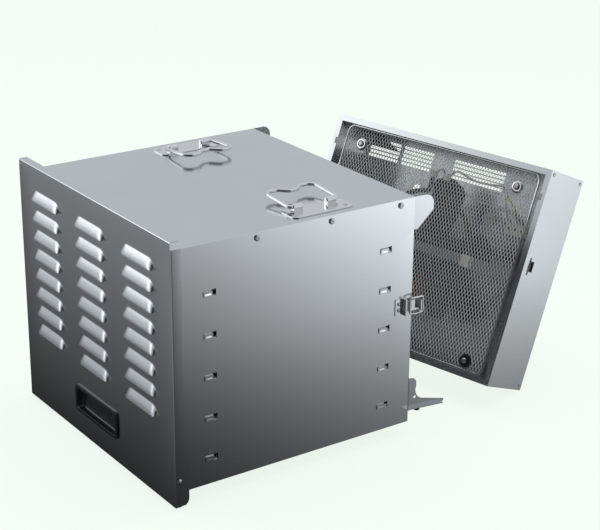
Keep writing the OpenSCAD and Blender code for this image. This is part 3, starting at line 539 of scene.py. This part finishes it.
@dataclass
class Door:
    """The louvred pull-off door: one pressed sheet with bent edges, and a moulded finger pull."""

    half_w: float = 211.5
    low: float = 4.3
    high: float = 372.0
    bend: float = 2.0
    sheet: float = 1.0
    flange: float = 15.0
    flange_top: float = 362.0
    ear: float = 20.6
    ear_low: float = 89.0
    ear_high: float = 101.0
    corner: float = 12.0
    top_lip: float = 12.0
    low_lip: float = 10.0
    lip_inset: float = 8.0
    louvre_w: float = 80.0
    louvre_h: float = 15.0
    louvre_end: float = 13.0
    rise: float = 6.0
    columns: tuple[float, ...] = (-129.0, 0.0, 129.0)
    rows: tuple[float, ...] = tuple(323 - 28.9 * k for k in range(8))
    pull_half: tuple[float, float] = (60.5, 20.5)
    pull_z: float = 60.5

    def build(self, place: Place) -> None:
        """Makes the sheet and the pull, and dresses the studs."""
        panel = add_piece("louvred_door", self.sheet_surface(), place, DOOR_STEEL, "door", ("door_panel",),
                          28)
        thicken(panel, self.sheet, 28)
        add_piece("finger_pull", self.pull_surface(), place, PULL_PLASTIC, "door", ("door_pull",), 40)
        dress(FASTENER, "door_studs")

    def bent(self, half: float, reach: float, middle: Array) -> tuple[Array, Array]:
        """A line of the sheet with both edges bent back: across, then round a quarter circle, then back.

        Args:
            half: half the width outside the bends.
            reach: 1 for a full flange line, kept as a share that is scaled later.
            middle: the places across the flat, in order.
        Returns:
            The places across, and for each the share of the flange that lies behind it.
        """
        a = np.linspace(0, np.pi / 2, 5)[1:]
        across = half - self.bend + self.bend * np.sin(a)
        back = self.bend * (1 - np.cos(a))
        across = np.append(across, half)
        back = np.append(back, reach)
        flat = np.concatenate([[-half + self.bend], middle, [half - self.bend]])
        return (np.concatenate([-across[::-1], flat, across]),
                np.concatenate([back[::-1], np.zeros(len(flat)), back]))

    def hood_height(self, x: Array, z: Array) -> Array:
        """How far the sheet stands forward at (x, z): rise * end^0.4 * (1 - (z/top)^1.15) on each louvre.

        The top of a louvre is its height times sqrt(1 - e^2), where e grows from 0 to 1 over the rounded end.
        """
        height = np.zeros(np.broadcast(x, z).shape)
        for column in self.columns:
            beyond = np.abs(x - column) - (self.louvre_w / 2 - self.louvre_end)
            end = np.sqrt(np.clip(1 - np.clip(beyond / self.louvre_end, 0, 1) ** 2, 0, 1))
            for row in self.rows:
                up = z - row
                share = np.clip(up / np.maximum(self.louvre_h * end, 1e-3), 0, 1)
                inside = (up >= -1e-6) & (end > 1e-6)
                height = np.maximum(height, np.where(inside, self.rise * end ** 0.4 * (1 - share ** 1.15), 0))
        return height

    def sheet_surface(self) -> Surface:
        """The door's outer face as one grid of lines, cut below each louvre and behind the pull."""
        pull_w, pull_h = self.pull_half[0] - 4, self.pull_half[1] - 4
        edge = 0.5
        half = self.louvre_w / 2
        across = np.concatenate([[-half - edge], half * np.sin(np.linspace(-np.pi / 2, np.pi / 2, 45)),
                                 [half + edge]])
        louvre_x = np.concatenate([c + across for c in self.columns])
        middle = np.unique(np.round(np.concatenate([louvre_x, [-pull_w, pull_w, -85, 85]]), 4))
        xs, x_back = self.bent(self.half_w, 1000.0, middle)
        upward = np.concatenate([[-edge], np.linspace(0, self.louvre_h, 13), [self.louvre_h + edge]])
        louvre_z = np.concatenate([r + upward for r in self.rows])
        ear_z = np.linspace(self.low + self.bend, self.low + self.corner, 7)
        levels = np.unique(np.round(np.concatenate([louvre_z, ear_z, [
            self.pull_z - pull_h, self.pull_z + pull_h, self.ear_low, self.ear_high, self.flange_top]]), 4))
        slits = np.isin(levels, np.round(self.rows, 4))
        levels = np.repeat(levels, 1 + slits)
        lip = np.append(self.bend * (1 - np.cos(np.linspace(0, np.pi / 2, 5)[1:])), [0.0])
        up_bend = self.high - self.bend + self.bend * np.sin(np.linspace(0, np.pi / 2, 5)[1:])
        down_bend = self.low + self.bend - self.bend * np.sin(np.linspace(0, np.pi / 2, 5)[1:])
        zs = np.concatenate([[self.low], down_bend[::-1], [self.low + self.bend], levels,
                             [self.high - self.bend], up_bend, [self.high]])
        z_back = np.concatenate([[self.low_lip], lip[:4][::-1], np.zeros(len(levels) + 2), lip[:4],
                                 [self.top_lip]])
        x, z = np.meshgrid(xs, zs, indexing="ij")
        under_lip = np.zeros(len(zs), bool)
        at_slit = np.isin(np.round(zs[:-1], 4), np.round(self.rows, 4))
        same = np.flatnonzero(np.isclose(np.diff(zs), 0) & at_slit)
        under_lip[same] = True
        height = self.hood_height(x, z)
        height[:, under_lip] = 0
        reach = self.flange_reach(z)
        back = np.where(x_back[:, None] > 100, reach, x_back[:, None])
        y = back + z_back[None] - height
        keep = self.kept_cells(x, z, xs, zs, x_back, z_back, under_lip, (pull_w, pull_h))
        return grid(np.stack([x, y, z], -1), keep=keep)

    def flange_reach(self, z: Array) -> Array:
        """How far back the side flange reaches at height z: an ear low down, then a slope to the flange."""
        ear = np.interp(z, [self.ear_low, self.ear_high], [self.ear, self.flange])
        drop = np.clip((self.low + self.corner - z) / self.corner, 0, 1)
        return ear - self.corner * (1 - np.sqrt(1 - drop ** 2))

    def kept_cells(self, x: Array, z: Array, xs: Array, zs: Array, x_back: Array, z_back: Array,
                   under_lip: Array, pull: tuple[float, float]) -> Array:
        """Which cells are metal: not the slits, the pull's hole, the notched corners or the gaps."""
        mid_x, mid_z = (xs[1:] + xs[:-1]) / 2, (zs[1:] + zs[:-1]) / 2
        on_flange = np.maximum(x_back[1:], x_back[:-1]) > 1e-9
        on_lip = np.maximum(z_back[1:], z_back[:-1]) > 1e-9
        keep = np.ones((len(mid_x), len(mid_z)), bool)
        keep[:, under_lip[:-1]] = False
        keep[np.ix_(on_flange, on_lip)] = False
        keep[np.ix_(on_flange, mid_z > self.flange_top)] = False
        keep[np.ix_(np.abs(mid_x) > self.half_w - self.lip_inset, on_lip)] = False
        keep[np.ix_(np.abs(mid_x) < pull[0], np.abs(mid_z - self.pull_z) < pull[1])] = False
        return keep

    def pull_surface(self) -> Surface:
        """The pull as rounded rectangles lofted from the rim's back, over its rolled edge and into the cup.

        The cup is a scoop: a point's depth falls by 0.72 of itself from the pull's top to its bottom.
        """
        half_w, half_h = self.pull_half
        rim, wall, cup = 3.0, 1.8, 14.0
        loops = [  # inset from the outer edge, Y, corner radius
            (8.0, cup, 5.0), (4.6, cup - 2.0, 6.0), (4.0, 0.0, 6.0), (0.0, 0.0, 7.0), (0.0, -rim + 1.4, 7.0),
            (0.4, -rim + 0.4, 7.0), (1.4, -rim, 6.5), (4.4, -rim, 5.5), (5.4, -rim + 0.5, 5.0),
            (5.8, -rim + 1.5, 5.0), (6.4, cup - wall - 3.0, 5.0), (7.4, cup - wall - 0.8, 4.6),
            (9.4, cup - wall, 4.0)]
        rings = []
        for inset, y, radius in loops:
            outline = rounded_box(half_w - inset, half_h - inset, radius, 8)
            low = 0.5 - outline[:, 1] / (2 * half_h)
            scooped = y - 0.72 * max(y, 0) * low
            rings.append(np.stack([outline[:, 0], scooped, outline[:, 1] + self.pull_z], -1))
        back = np.broadcast_to(rings[0].mean(0), rings[0].shape)
        floor = np.broadcast_to(rings[-1].mean(0), rings[-1].shape)
        return grid(np.array([floor, *rings[::-1], back]), wrap_v=True)


@dataclass
class ChestHandle:
    """One folding chest handle on the top panel."""

    side: Side
    pivot_x: float = 160.0
    middle_y: float = 250.0
    pivot_z: float = 363.3
    half_gap: float = 39.0
    leg: float = 60.0
    lift: float = 4.0
    wire: float = 5.6
    pin: float = 20.0

    def build(self, place: Place) -> None:
        """Makes the wire bail and dresses the base plate."""
        body = f"handle_{self.side.word}"
        bail = sweep(self.route(), circle(self.wire / 2, 20))
        bail = bail if self.side is Side.RIGHT else bail.mirrored()
        add_piece(f"handle_wire_{self.side.word}", bail, place, NICKEL, body,
                  (f"handle_bail_{self.side.word}",))
        softened(f"handle_base_{self.side.word}", NICKEL, "cabinet", 0.4)

    def route(self) -> Array:
        """The wire's centreline: pivot pin, leg, rounded corner, grip with a dip in its middle, and back."""
        x, y, z, h = self.pivot_x, self.middle_y, self.pivot_z, self.half_gap
        grip, up = x - self.leg, z + self.lift
        half = [(x, y - h + self.pin, z), (x, y - h, z), (grip + 8, y - h - 1, up), (grip, y - h + 7, up),
                (grip, y - 18, up), (grip + 12, y - 7, up)]
        other = [(px, 2 * y - py, pz) for px, py, pz in reversed(half)]
        return eased(np.array(half + other, float), 4.8, 7)


@dataclass
class DrawLatch:
    """One draw latch: a lever with a wire hook that pulls the rear unit home."""

    side: Side
    pivot: tuple[float, float, float] = (206.6, 382.0, 200.5)
    tip_y: float = 403.8
    half: float = 11.4
    wire: float = 2.6

    def build(self, place: Place) -> None:
        """Makes the wire hook and dresses the lever."""
        word = self.side.word
        hook = sweep(self.route(), circle(self.wire / 2, 14))
        hook = hook if self.side is Side.RIGHT else hook.mirrored()
        add_piece(f"latch_wire_{word}", hook, place, NICKEL, f"hook_{word}", (f"latch_bail_{word}",))
        dress(NICKEL, f"latch_lever_{word}", "latch_bases")

    def route(self) -> Array:
        """The wire's centreline: pin, knee, long leg, closed end, and back."""
        x, y, z = self.pivot
        out, knee, h = x + 1.5, y + 6, self.half
        half = [(x, y, z - 6), (x, y, z - h), (out, knee, z - h - 0.6), (out, self.tip_y, z - h)]
        other = [(px, py, 2 * z - pz) for px, py, pz in reversed(half)]
        return eased(np.array(half + other, float), 2.2, 6)


@dataclass
class TrayStack:
    """The five wire trays, each a rod frame with cross rods below and fine wires above."""

    half_w: float = 188.0
    front: float = 26.0
    rear: float = 372.0
    rod: float = 4.0
    wire: float = 1.6
    pitch: float = 8.0
    count: int = 5

    def build(self, place: Place) -> None:
        """Makes each tray at the height where the CAD holds it."""
        for k in range(1, self.count + 1):
            low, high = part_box(f"wire_tray_{k}")
            middle = (low.z + high.z) / 2 / MM
            add_piece(f"tray_grid_{k}", self.tray(middle, (high.z - low.z) / 2 / MM), place, NICKEL, f"tray_{k}",
                      (f"wire_tray_{k}",))

    def tray(self, z: float, half_thick: float) -> Surface:
        """A tray whose thickest place is half_thick above and below z."""
        r, w = self.rod / 2, self.half_w - self.rod / 2
        a, b = self.front + r, self.rear - r
        rim = rounded_box(w, (b - a) / 2, 10, 6)
        path = np.stack([rim[:, 0], rim[:, 1] + (a + b) / 2, np.full(len(rim), z)], -1)
        parts = [sweep(path, circle(min(r, half_thick), 10), closed=True)]
        for y in np.linspace(a, b, 7)[1:-1]:
            parts.append(sweep(np.array([[-w, y, z - 0.5], [w, y, z - 0.5]]),
                               circle(min(1.4, half_thick - 0.5), 8)))
        for x in np.arange(-w + self.pitch, w, self.pitch):
            parts.append(sweep(np.array([[x, a, z + 0.9], [x, b, z + 0.9]]),
                               circle(min(self.wire / 2, half_thick - 0.9), 6)))
        return joined(parts)


# ---------------------------------------------------------------- rear unit

@dataclass
class RearUnit:
    """The fan and heater unit: housing, expanded-metal guard, fan, heater, motor and leads."""

    guard_half_w: float = 180.0
    guard_low: float = 8.0
    guard_high: float = 321.0
    guard_y: float = 8.0
    diamond_w: float = 5.4
    diamond_h: float = 11.0
    strand: float = 0.95
    fix_x: float = 146.0
    fix_z: tuple[float, float] = (24.0, 293.0)
    fan_y: float = 47.0
    fan_z: float = 165.0
    hub: float = 18.0
    tip: float = 115.0
    blades: int = 5
    lead_r: float = 1.6
    supply: tuple = ((108, 88, 241.8), (107, 74, 246), (110, 56, 262), (112, 42, 278), (106, 36, 288),
                     (86, 34, 286), (60, 34, 285), (38, 34, 289), (24, 36, 292), (15, 38, 289), (12.3, 34, 281))
    heater: tuple = ((119, 88, 241.8), (96, 84, 256), (50, 72, 258), (0, 64, 270), (-10, 54, 285),
                     (-12.3, 44, 289), (-12.3, 34, 281))
    earth: tuple = ((131, 88, 241.8), (136, 66, 244), (138, 46, 250), (134, 38, 262), (126, 36, 270),
                    (118, 38, 276))

    def build(self, place: Place) -> None:
        """Makes the unit's detailed pieces and dresses the rest."""
        for node in ("rear_housing", "rear_back_panel", "control_box"):
            softened(node, UNIT_STEEL, "rear_unit", 0.35)
        add_piece("guard_strands", self.strands(), place, MESH_STEEL, "rear_unit", ("fan_guard",), 50)
        add_piece("guard_border", self.border(), place, NICKEL, "rear_unit", ("fan_guard",))
        for name, zs, finish in (("guard_cups_top", self.fix_z[1:], NICKEL),
                                 ("guard_cups_low", self.fix_z[:1], RUBBER)):
            cups = joined([self.cup(x, z) for x in (-self.fix_x, self.fix_x) for z in zs])
            add_piece(name, cups, place, finish, "rear_unit", ("guard_washers",))
        add_piece("fan_blades", self.fan(), place, BLADE_PAINT, "fan", ("fan_impeller",), 40)
        routes = [np.array(r, float) for r in (self.supply, self.heater, self.earth)]
        leads = [sweep(smooth_route(r), circle(self.lead_r, 12)) for r in routes]
        add_piece("white_lead_pair", joined(leads[:2]), place, WHITE_LEAD, "rear_unit", ("white_leads",))
        add_piece("earth_lead_sweep", leads[2], place, EARTH_LEAD, "rear_unit", ("earth_lead",))
        dress(FASTENER, "guard_screws", "housing_screws")
        dress(UNIT_STEEL, "latch_keepers")
        dress(HEATER, "heating_element")
        dress(CERAMIC, "heater_insulators", "thermal_cutout")
        dress(ZINC, "heater_bracket", "motor_bracket")
        dress(CORE, "motor_core")
        dress(COPPER, "motor_winding")
        dress(SHAFT, "fan_rotor_shaft")
        dress(NYLON, "terminal_block")
        dress(KNOB_PLASTIC, "thermostat_knob", "timer_knob", "switch_bezel", "power_inlet")
        dress(ROCKER_RED, "power_rocker")
        dress(AMBER, "pilot_lamp")

    def strands(self) -> Surface:
        """Expanded metal: upright strands that swing half a diamond to and fro and meet their neighbours.

        Strand j at height z lies at x = (j + 1/2) w/2 + (-1)^j w/4 * k, where k is +1 and -1 in turn at the
        knuckles, a diamond's half height apart. Each knuckle is two points, so that it has a length.
        """
        half_w, half_h = self.diamond_w / 2, self.diamond_h / 2
        knuckle = 1.3
        low, high = self.guard_low + 2, self.guard_high - 2
        rows = np.arange(math.ceil(low / half_h), math.floor(high / half_h) + 1)
        z = (rows[:, None] * half_h + np.array([-knuckle, knuckle])).ravel()
        swing = np.repeat(np.where(rows % 2 == 0, 1.0, -1.0), 2)
        z = np.clip(z, low, high)
        count = int(2 * (self.guard_half_w - 4) / half_w)
        j = np.arange(count) - count // 2
        meet = half_w / 2 - self.strand * 0.32
        x = (j[:, None] + 0.5) * half_w + np.where(j % 2 == 0, 1, -1)[:, None] * meet * swing
        tilt, thick = math.radians(28), 0.9
        c, s = math.cos(tilt), math.sin(tilt)
        a = np.array([-1, 1, 1, -1]) * self.strand / 2
        b = np.array([-1, -1, 1, 1]) * thick / 2
        dx, dy = a * c - b * s, a * s + b * c
        shape = (count, len(z), 4)
        points = np.stack([np.broadcast_to(x[:, :, None] + dx, shape),
                           np.broadcast_to(self.guard_y + 0.6 + dy, shape),
                           np.broadcast_to(z[None, :, None], shape)], -1)
        ends = [np.repeat(points[:, [k]].mean(2, keepdims=True), 4, 2) for k in (0, -1)]
        points = np.concatenate([ends[0], points, ends[1]], 1)
        one = grid(points[0], wrap_v=True)
        quads = one.quads[None] + (np.arange(count) * points.shape[1] * 4)[:, None, None]
        return Surface(points.reshape(-1, 3), quads.reshape(-1, 4)[:, ::-1])

    def border(self) -> Surface:
        """The guard's rolled border: a flat oval carried round a rectangle with rounded corners."""
        half_h = (self.guard_high - self.guard_low) / 2
        outline = rounded_box(self.guard_half_w - 1.8, half_h - 1.8, 12, 8)
        path = np.stack([outline[:, 0], np.full(len(outline), self.guard_y + 0.2),
                         outline[:, 1] + self.guard_low + half_h], -1)
        section = circle(1.0, 12) * [1.8, 1.1]
        return sweep(path, section, closed=True, upright=np.array([0.0, 1, 0]))

    def cup(self, x: float, z: float) -> Surface:
        """A dished washer turned about its screw: a flat foot, a rounded wall and a sunk seat."""
        profile = np.array([(2.1, 0.0), (10.0, 0.0), (10.0, 0.7), (9.2, 1.7), (7.8, 2.4), (6.0, 2.6), (4.9, 2.2),
                            (4.2, 1.4), (2.1, 1.2), (2.1, 0.0)])
        shape = turned(profile, 40)
        p = shape.points
        front = self.guard_y - 0.2
        return Surface(np.stack([p[:, 0] + x, front - p[:, 2], p[:, 1] + z], -1), shape.quads)

    def fan(self) -> Surface:
        """The fan: a turned hub and blades whose chord angle falls from root to tip, with rounded corners.

        A blade point at share r of its length and c of its chord is at radius hub + r*(tip - hub), turned by
        c * width / radius round the shaft and lifted by c * width * sin(pitch); a low camber curves it.
        """
        r = np.linspace(0, 1, 18)[:, None]
        c = np.linspace(-0.5, 0.5, 12)[None]
        radius = self.hub - 3 + r * (self.tip - self.hub + 3)
        corner = np.sqrt(np.clip(1 - np.clip((r - 0.8) / 0.2, 0, 1) ** 2.5, 0.02, 1))
        width = (22 + 34 * np.sqrt(r)) * corner
        pitch = np.radians(36 - 12 * r)
        along = c * width
        angle = along * np.cos(pitch) / radius + 0.25 * r
        lift = along * np.sin(pitch) + 3.0 * (1 - 4 * c ** 2) * (0.4 + 0.6 * r)
        half = 0.55
        sheets = [np.stack([radius * np.cos(angle), radius * np.sin(angle), lift + side], -1)
                  for side in (half, -half)]
        loop = np.concatenate([sheets[0], sheets[1][:, ::-1]], 1)
        root = loop[:1] * 0 + loop[:1].mean(1, keepdims=True)
        point = loop[-1:] * 0 + loop[-1:].mean(1, keepdims=True)
        blade = grid(np.concatenate([root, loop, point]), wrap_v=True)
        parts = [turned(np.array([(3.05, -9.0), (16.5, -9.0), (18.0, -7.5), (18.0, 7.0), (16.0, 9.0), (9.0, 9.0),
                                  (7.0, 7.5), (3.05, 7.5), (3.05, -9.0)]), 48)]
        for k in range(self.blades):
            a = 2 * np.pi * k / self.blades
            spin = np.array([[math.cos(a), -math.sin(a), 0], [math.sin(a), math.cos(a), 0], [0, 0, 1]])
            parts.append(Surface(blade.points @ spin.T, blade.quads))
        shape = joined(parts)
        p = shape.points
        return Surface(np.stack([p[:, 0], self.fan_y - p[:, 2], p[:, 1] + self.fan_z], -1), shape.quads)


# ---------------------------------------------------------------- studio

@dataclass
class Studio:
    """A plain pale floor, soft light, the bright and dark cards that sheet metal reflects, and the camera."""

    camera_mm: tuple[float, float, float] = (1817.5, -927.5, 1048.0)
    yaw: float = 55.10
    pitch: float = 20.83
    roll: float = 0.46
    lens: float = 97.1
    backdrop: str = "#F8FFF8"
    dark_side: tuple[float, float, float] = (0.72, -0.62, 0.31)
    card_reach: float = 1.1
    card_glow: tuple[float, float] = (0.04, 1.46)
    front_reach: float = 0.5
    front_glow: tuple[float, float] = (0.015, 0.27)

    def build(self, place: Place) -> None:
        """Sets the scene up in order: camera, world, floor, cards and lamps."""
        bpy.context.scene.view_settings.view_transform = "Standard"
        self.camera(place)
        self.world()
        self.floor()
        self.reflected_floor(place)
        self.softbox("front_card", (-2.4, -2.6, 1.5), (2.6, 2.0), 3.3)
        self.softbox("over_lamp", (0.2, 0.2, 2.6), (2.4, 2.4), 5.0).visible_glossy = False

    def camera(self, place: Place) -> None:
        """The camera: it looks along its yaw and pitch and leans by its roll."""
        yaw, pitch, roll = (math.radians(v) for v in (self.yaw, self.pitch, self.roll))
        forward = np.array([-math.sin(yaw) * math.cos(pitch), math.cos(yaw) * math.cos(pitch), -math.sin(pitch)])
        level = unit(np.cross(forward, [0, 0, 1]))
        above = np.cross(level, forward)
        right = math.cos(roll) * level + math.sin(roll) * above
        up = -math.sin(roll) * level + math.cos(roll) * above
        at = place.apply(np.array(self.camera_mm))
        data = bpy.data.cameras.new("camera")
        data.lens = self.lens
        data.sensor_width = 36.0
        camera = bpy.data.objects.new("camera", data)
        columns = np.stack([right, up, -forward], 1)
        camera.matrix_world = Matrix.Translation(at) @ Matrix(columns.tolist()).to_4x4()
        bpy.context.scene.collection.objects.link(camera)
        bpy.context.scene.camera = camera

    def world(self) -> None:
        """The room: pale where seen, a soft grey gradient where reflected, and dark on one side."""
        world = bpy.data.worlds.new("studio")
        world.use_nodes = True
        tree = world.node_tree
        tree.nodes.clear()
        ray = add_node(tree, "ShaderNodeLightPath")
        direction = add_node(tree, "ShaderNodeTexCoord").outputs["Generated"]
        axes = add_node(tree, "ShaderNodeSeparateXYZ", links={"Vector": direction})
        height = add_node(tree, "ShaderNodeMapRange", {"From Min": -0.1, "From Max": 0.9, "To Min": 0.66,
                                                       "To Max": 0.85}, {"Value": axes.outputs["Z"]})
        facing = add_node(tree, "ShaderNodeVectorMath", {1: self.dark_side}, {0: direction},
                          operation="DOT_PRODUCT")
        dim = add_node(tree, "ShaderNodeMapRange", {"From Min": 0.45, "From Max": 0.85, "To Min": 1.0,
                                                    "To Max": 0.08}, {"Value": facing.outputs["Value"]})
        level = add_node(tree, "ShaderNodeMath", links={0: height.outputs[0], 1: dim.outputs[0]},
                         operation="MULTIPLY")
        room = add_node(tree, "ShaderNodeBackground", {"Color": srgb("#F2F6FA")}, {"Strength": level.outputs[0]})
        seen = add_node(tree, "ShaderNodeBackground", {"Color": srgb(self.backdrop), "Strength": 1.0})
        mixed = add_node(tree, "ShaderNodeMixShader", links={0: ray.outputs["Is Camera Ray"], 1: room.outputs[0],
                                                             2: seen.outputs[0]})
        add_node(tree, "ShaderNodeOutputWorld", links={"Surface": mixed.outputs[0]})
        bpy.context.scene.world = world

    def plane(self, name: str, half: float, z: float) -> bpy.types.Object:
        """A square of the stage at height z."""
        mesh = bpy.data.meshes.new(name)
        mesh.from_pydata([(-half, -half, z), (half, -half, z), (half, half, z), (-half, half, z)], [],
                         [(0, 1, 2, 3)])
        made = bpy.data.objects.new(name, mesh)
        bpy.context.scene.collection.objects.link(made)
        return made

    def floor(self) -> None:
        """The floor: a pale sheet that glows a little, so that its shadows stay soft."""
        floor = self.plane("floor", 14.0, -0.0005)
        made = bpy.data.materials.new("pale_paper_floor")
        made.use_nodes = True
        tree = made.node_tree
        tree.nodes.clear()
        glow = add_node(tree, "ShaderNodeEmission", {"Color": srgb(self.backdrop), "Strength": 1.0})
        paper = add_node(tree, "ShaderNodeBsdfDiffuse", {"Color": srgb(self.backdrop)})
        mixed = add_node(tree, "ShaderNodeMixShader", {0: 0.12}, {1: glow.outputs[0], 2: paper.outputs[0]})
        add_node(tree, "ShaderNodeOutputMaterial", links={"Surface": mixed.outputs[0]})
        floor.data.materials.append(made)
        floor.visible_glossy = False

    def reflected_floor(self, place: Place) -> None:
        """What the sheets reflect below the horizon: dark by the cabinet's front, brighter away from it."""
        card = self.plane("gradient_card", 6.0, 0.0)
        made = bpy.data.materials.new("gradient_card")
        made.use_nodes = True
        tree = made.node_tree
        tree.nodes.clear()
        at = add_node(tree, "ShaderNodeTexCoord").outputs["Object"]
        axes = add_node(tree, "ShaderNodeSeparateXYZ", links={"Vector": at})
        front = float(place.apply(np.zeros(3))[1])
        behind = add_node(tree, "ShaderNodeMapRange", {"From Min": front, "From Max": front + self.card_reach},
                          {"Value": axes.outputs["Y"]})
        curved = add_node(tree, "ShaderNodeMath", {1: 1.5}, {0: behind.outputs[0]}, operation="POWER")
        rising = add_node(tree, "ShaderNodeMath", {1: self.card_glow[1], 2: self.card_glow[0]},
                          {0: curved.outputs[0]},
                          operation="MULTIPLY_ADD")
        aside = add_node(tree, "ShaderNodeMath", links={0: axes.outputs["X"]}, operation="ABSOLUTE")
        share = add_node(tree, "ShaderNodeMapRange", {"From Max": 0.65, "To Min": 0.35},
                         {"Value": aside.outputs[0]})
        beside = add_node(tree, "ShaderNodeMath", links={0: rising.outputs[0], 1: share.outputs[0]},
                          operation="MULTIPLY")
        before = add_node(tree, "ShaderNodeMapRange",
                          {"From Min": front, "From Max": front - self.front_reach,
                           "To Min": self.front_glow[0], "To Max": self.front_glow[1]},
                          {"Value": axes.outputs["Y"]})
        level = add_node(tree, "ShaderNodeMath", links={0: beside.outputs[0], 1: before.outputs[0]},
                         operation="ADD")
        glow = add_node(tree, "ShaderNodeEmission", {"Color": srgb("#F4F7FA")}, {"Strength": level.outputs[0]})
        add_node(tree, "ShaderNodeOutputMaterial", links={"Surface": glow.outputs[0]})
        card.data.materials.append(made)
        card.visible_camera = False
        card.visible_diffuse = False
        card.visible_shadow = False
        card.visible_transmission = False

    def softbox(self, name: str, at: tuple[float, float, float], size: tuple[float, float],
                power: float) -> bpy.types.Object:
        """A rectangular soft lamp that faces the object's middle.

        Args:
            name: its name.
            at: where it stands, in metres.
            size: its width and height.
            power: watts for each square metre of lamp.
        Returns:
            The lamp.
        """
        data = bpy.data.lights.new(name, "AREA")
        data.shape = "RECTANGLE"
        data.size, data.size_y = size
        data.energy = power * size[0] * size[1]
        lamp = bpy.data.objects.new(name, data)
        lamp.location = at
        aim = Vector((0, 0, 0.2)) - Vector(at)
        lamp.rotation_euler = aim.to_track_quat("-Z", "Y").to_euler()
        bpy.context.scene.collection.objects.link(lamp)
        lamp.visible_camera = False
        return lamp


def main() -> None:
    """Builds the sub-assemblies in order."""
    logging.basicConfig(level=logging.INFO, format="%(name)s: %(message)s")
    cabinet = cabinet_place()
    Studio().build(cabinet)
    Cabinet().build(cabinet)
    Door().build(cabinet)
    for side in Side:
        ChestHandle(side).build(cabinet)
        DrawLatch(side).build(cabinet)
    TrayStack().build(cabinet)
    RearUnit().build(unit_place(cabinet))


if __name__ == "__main__":
    main()
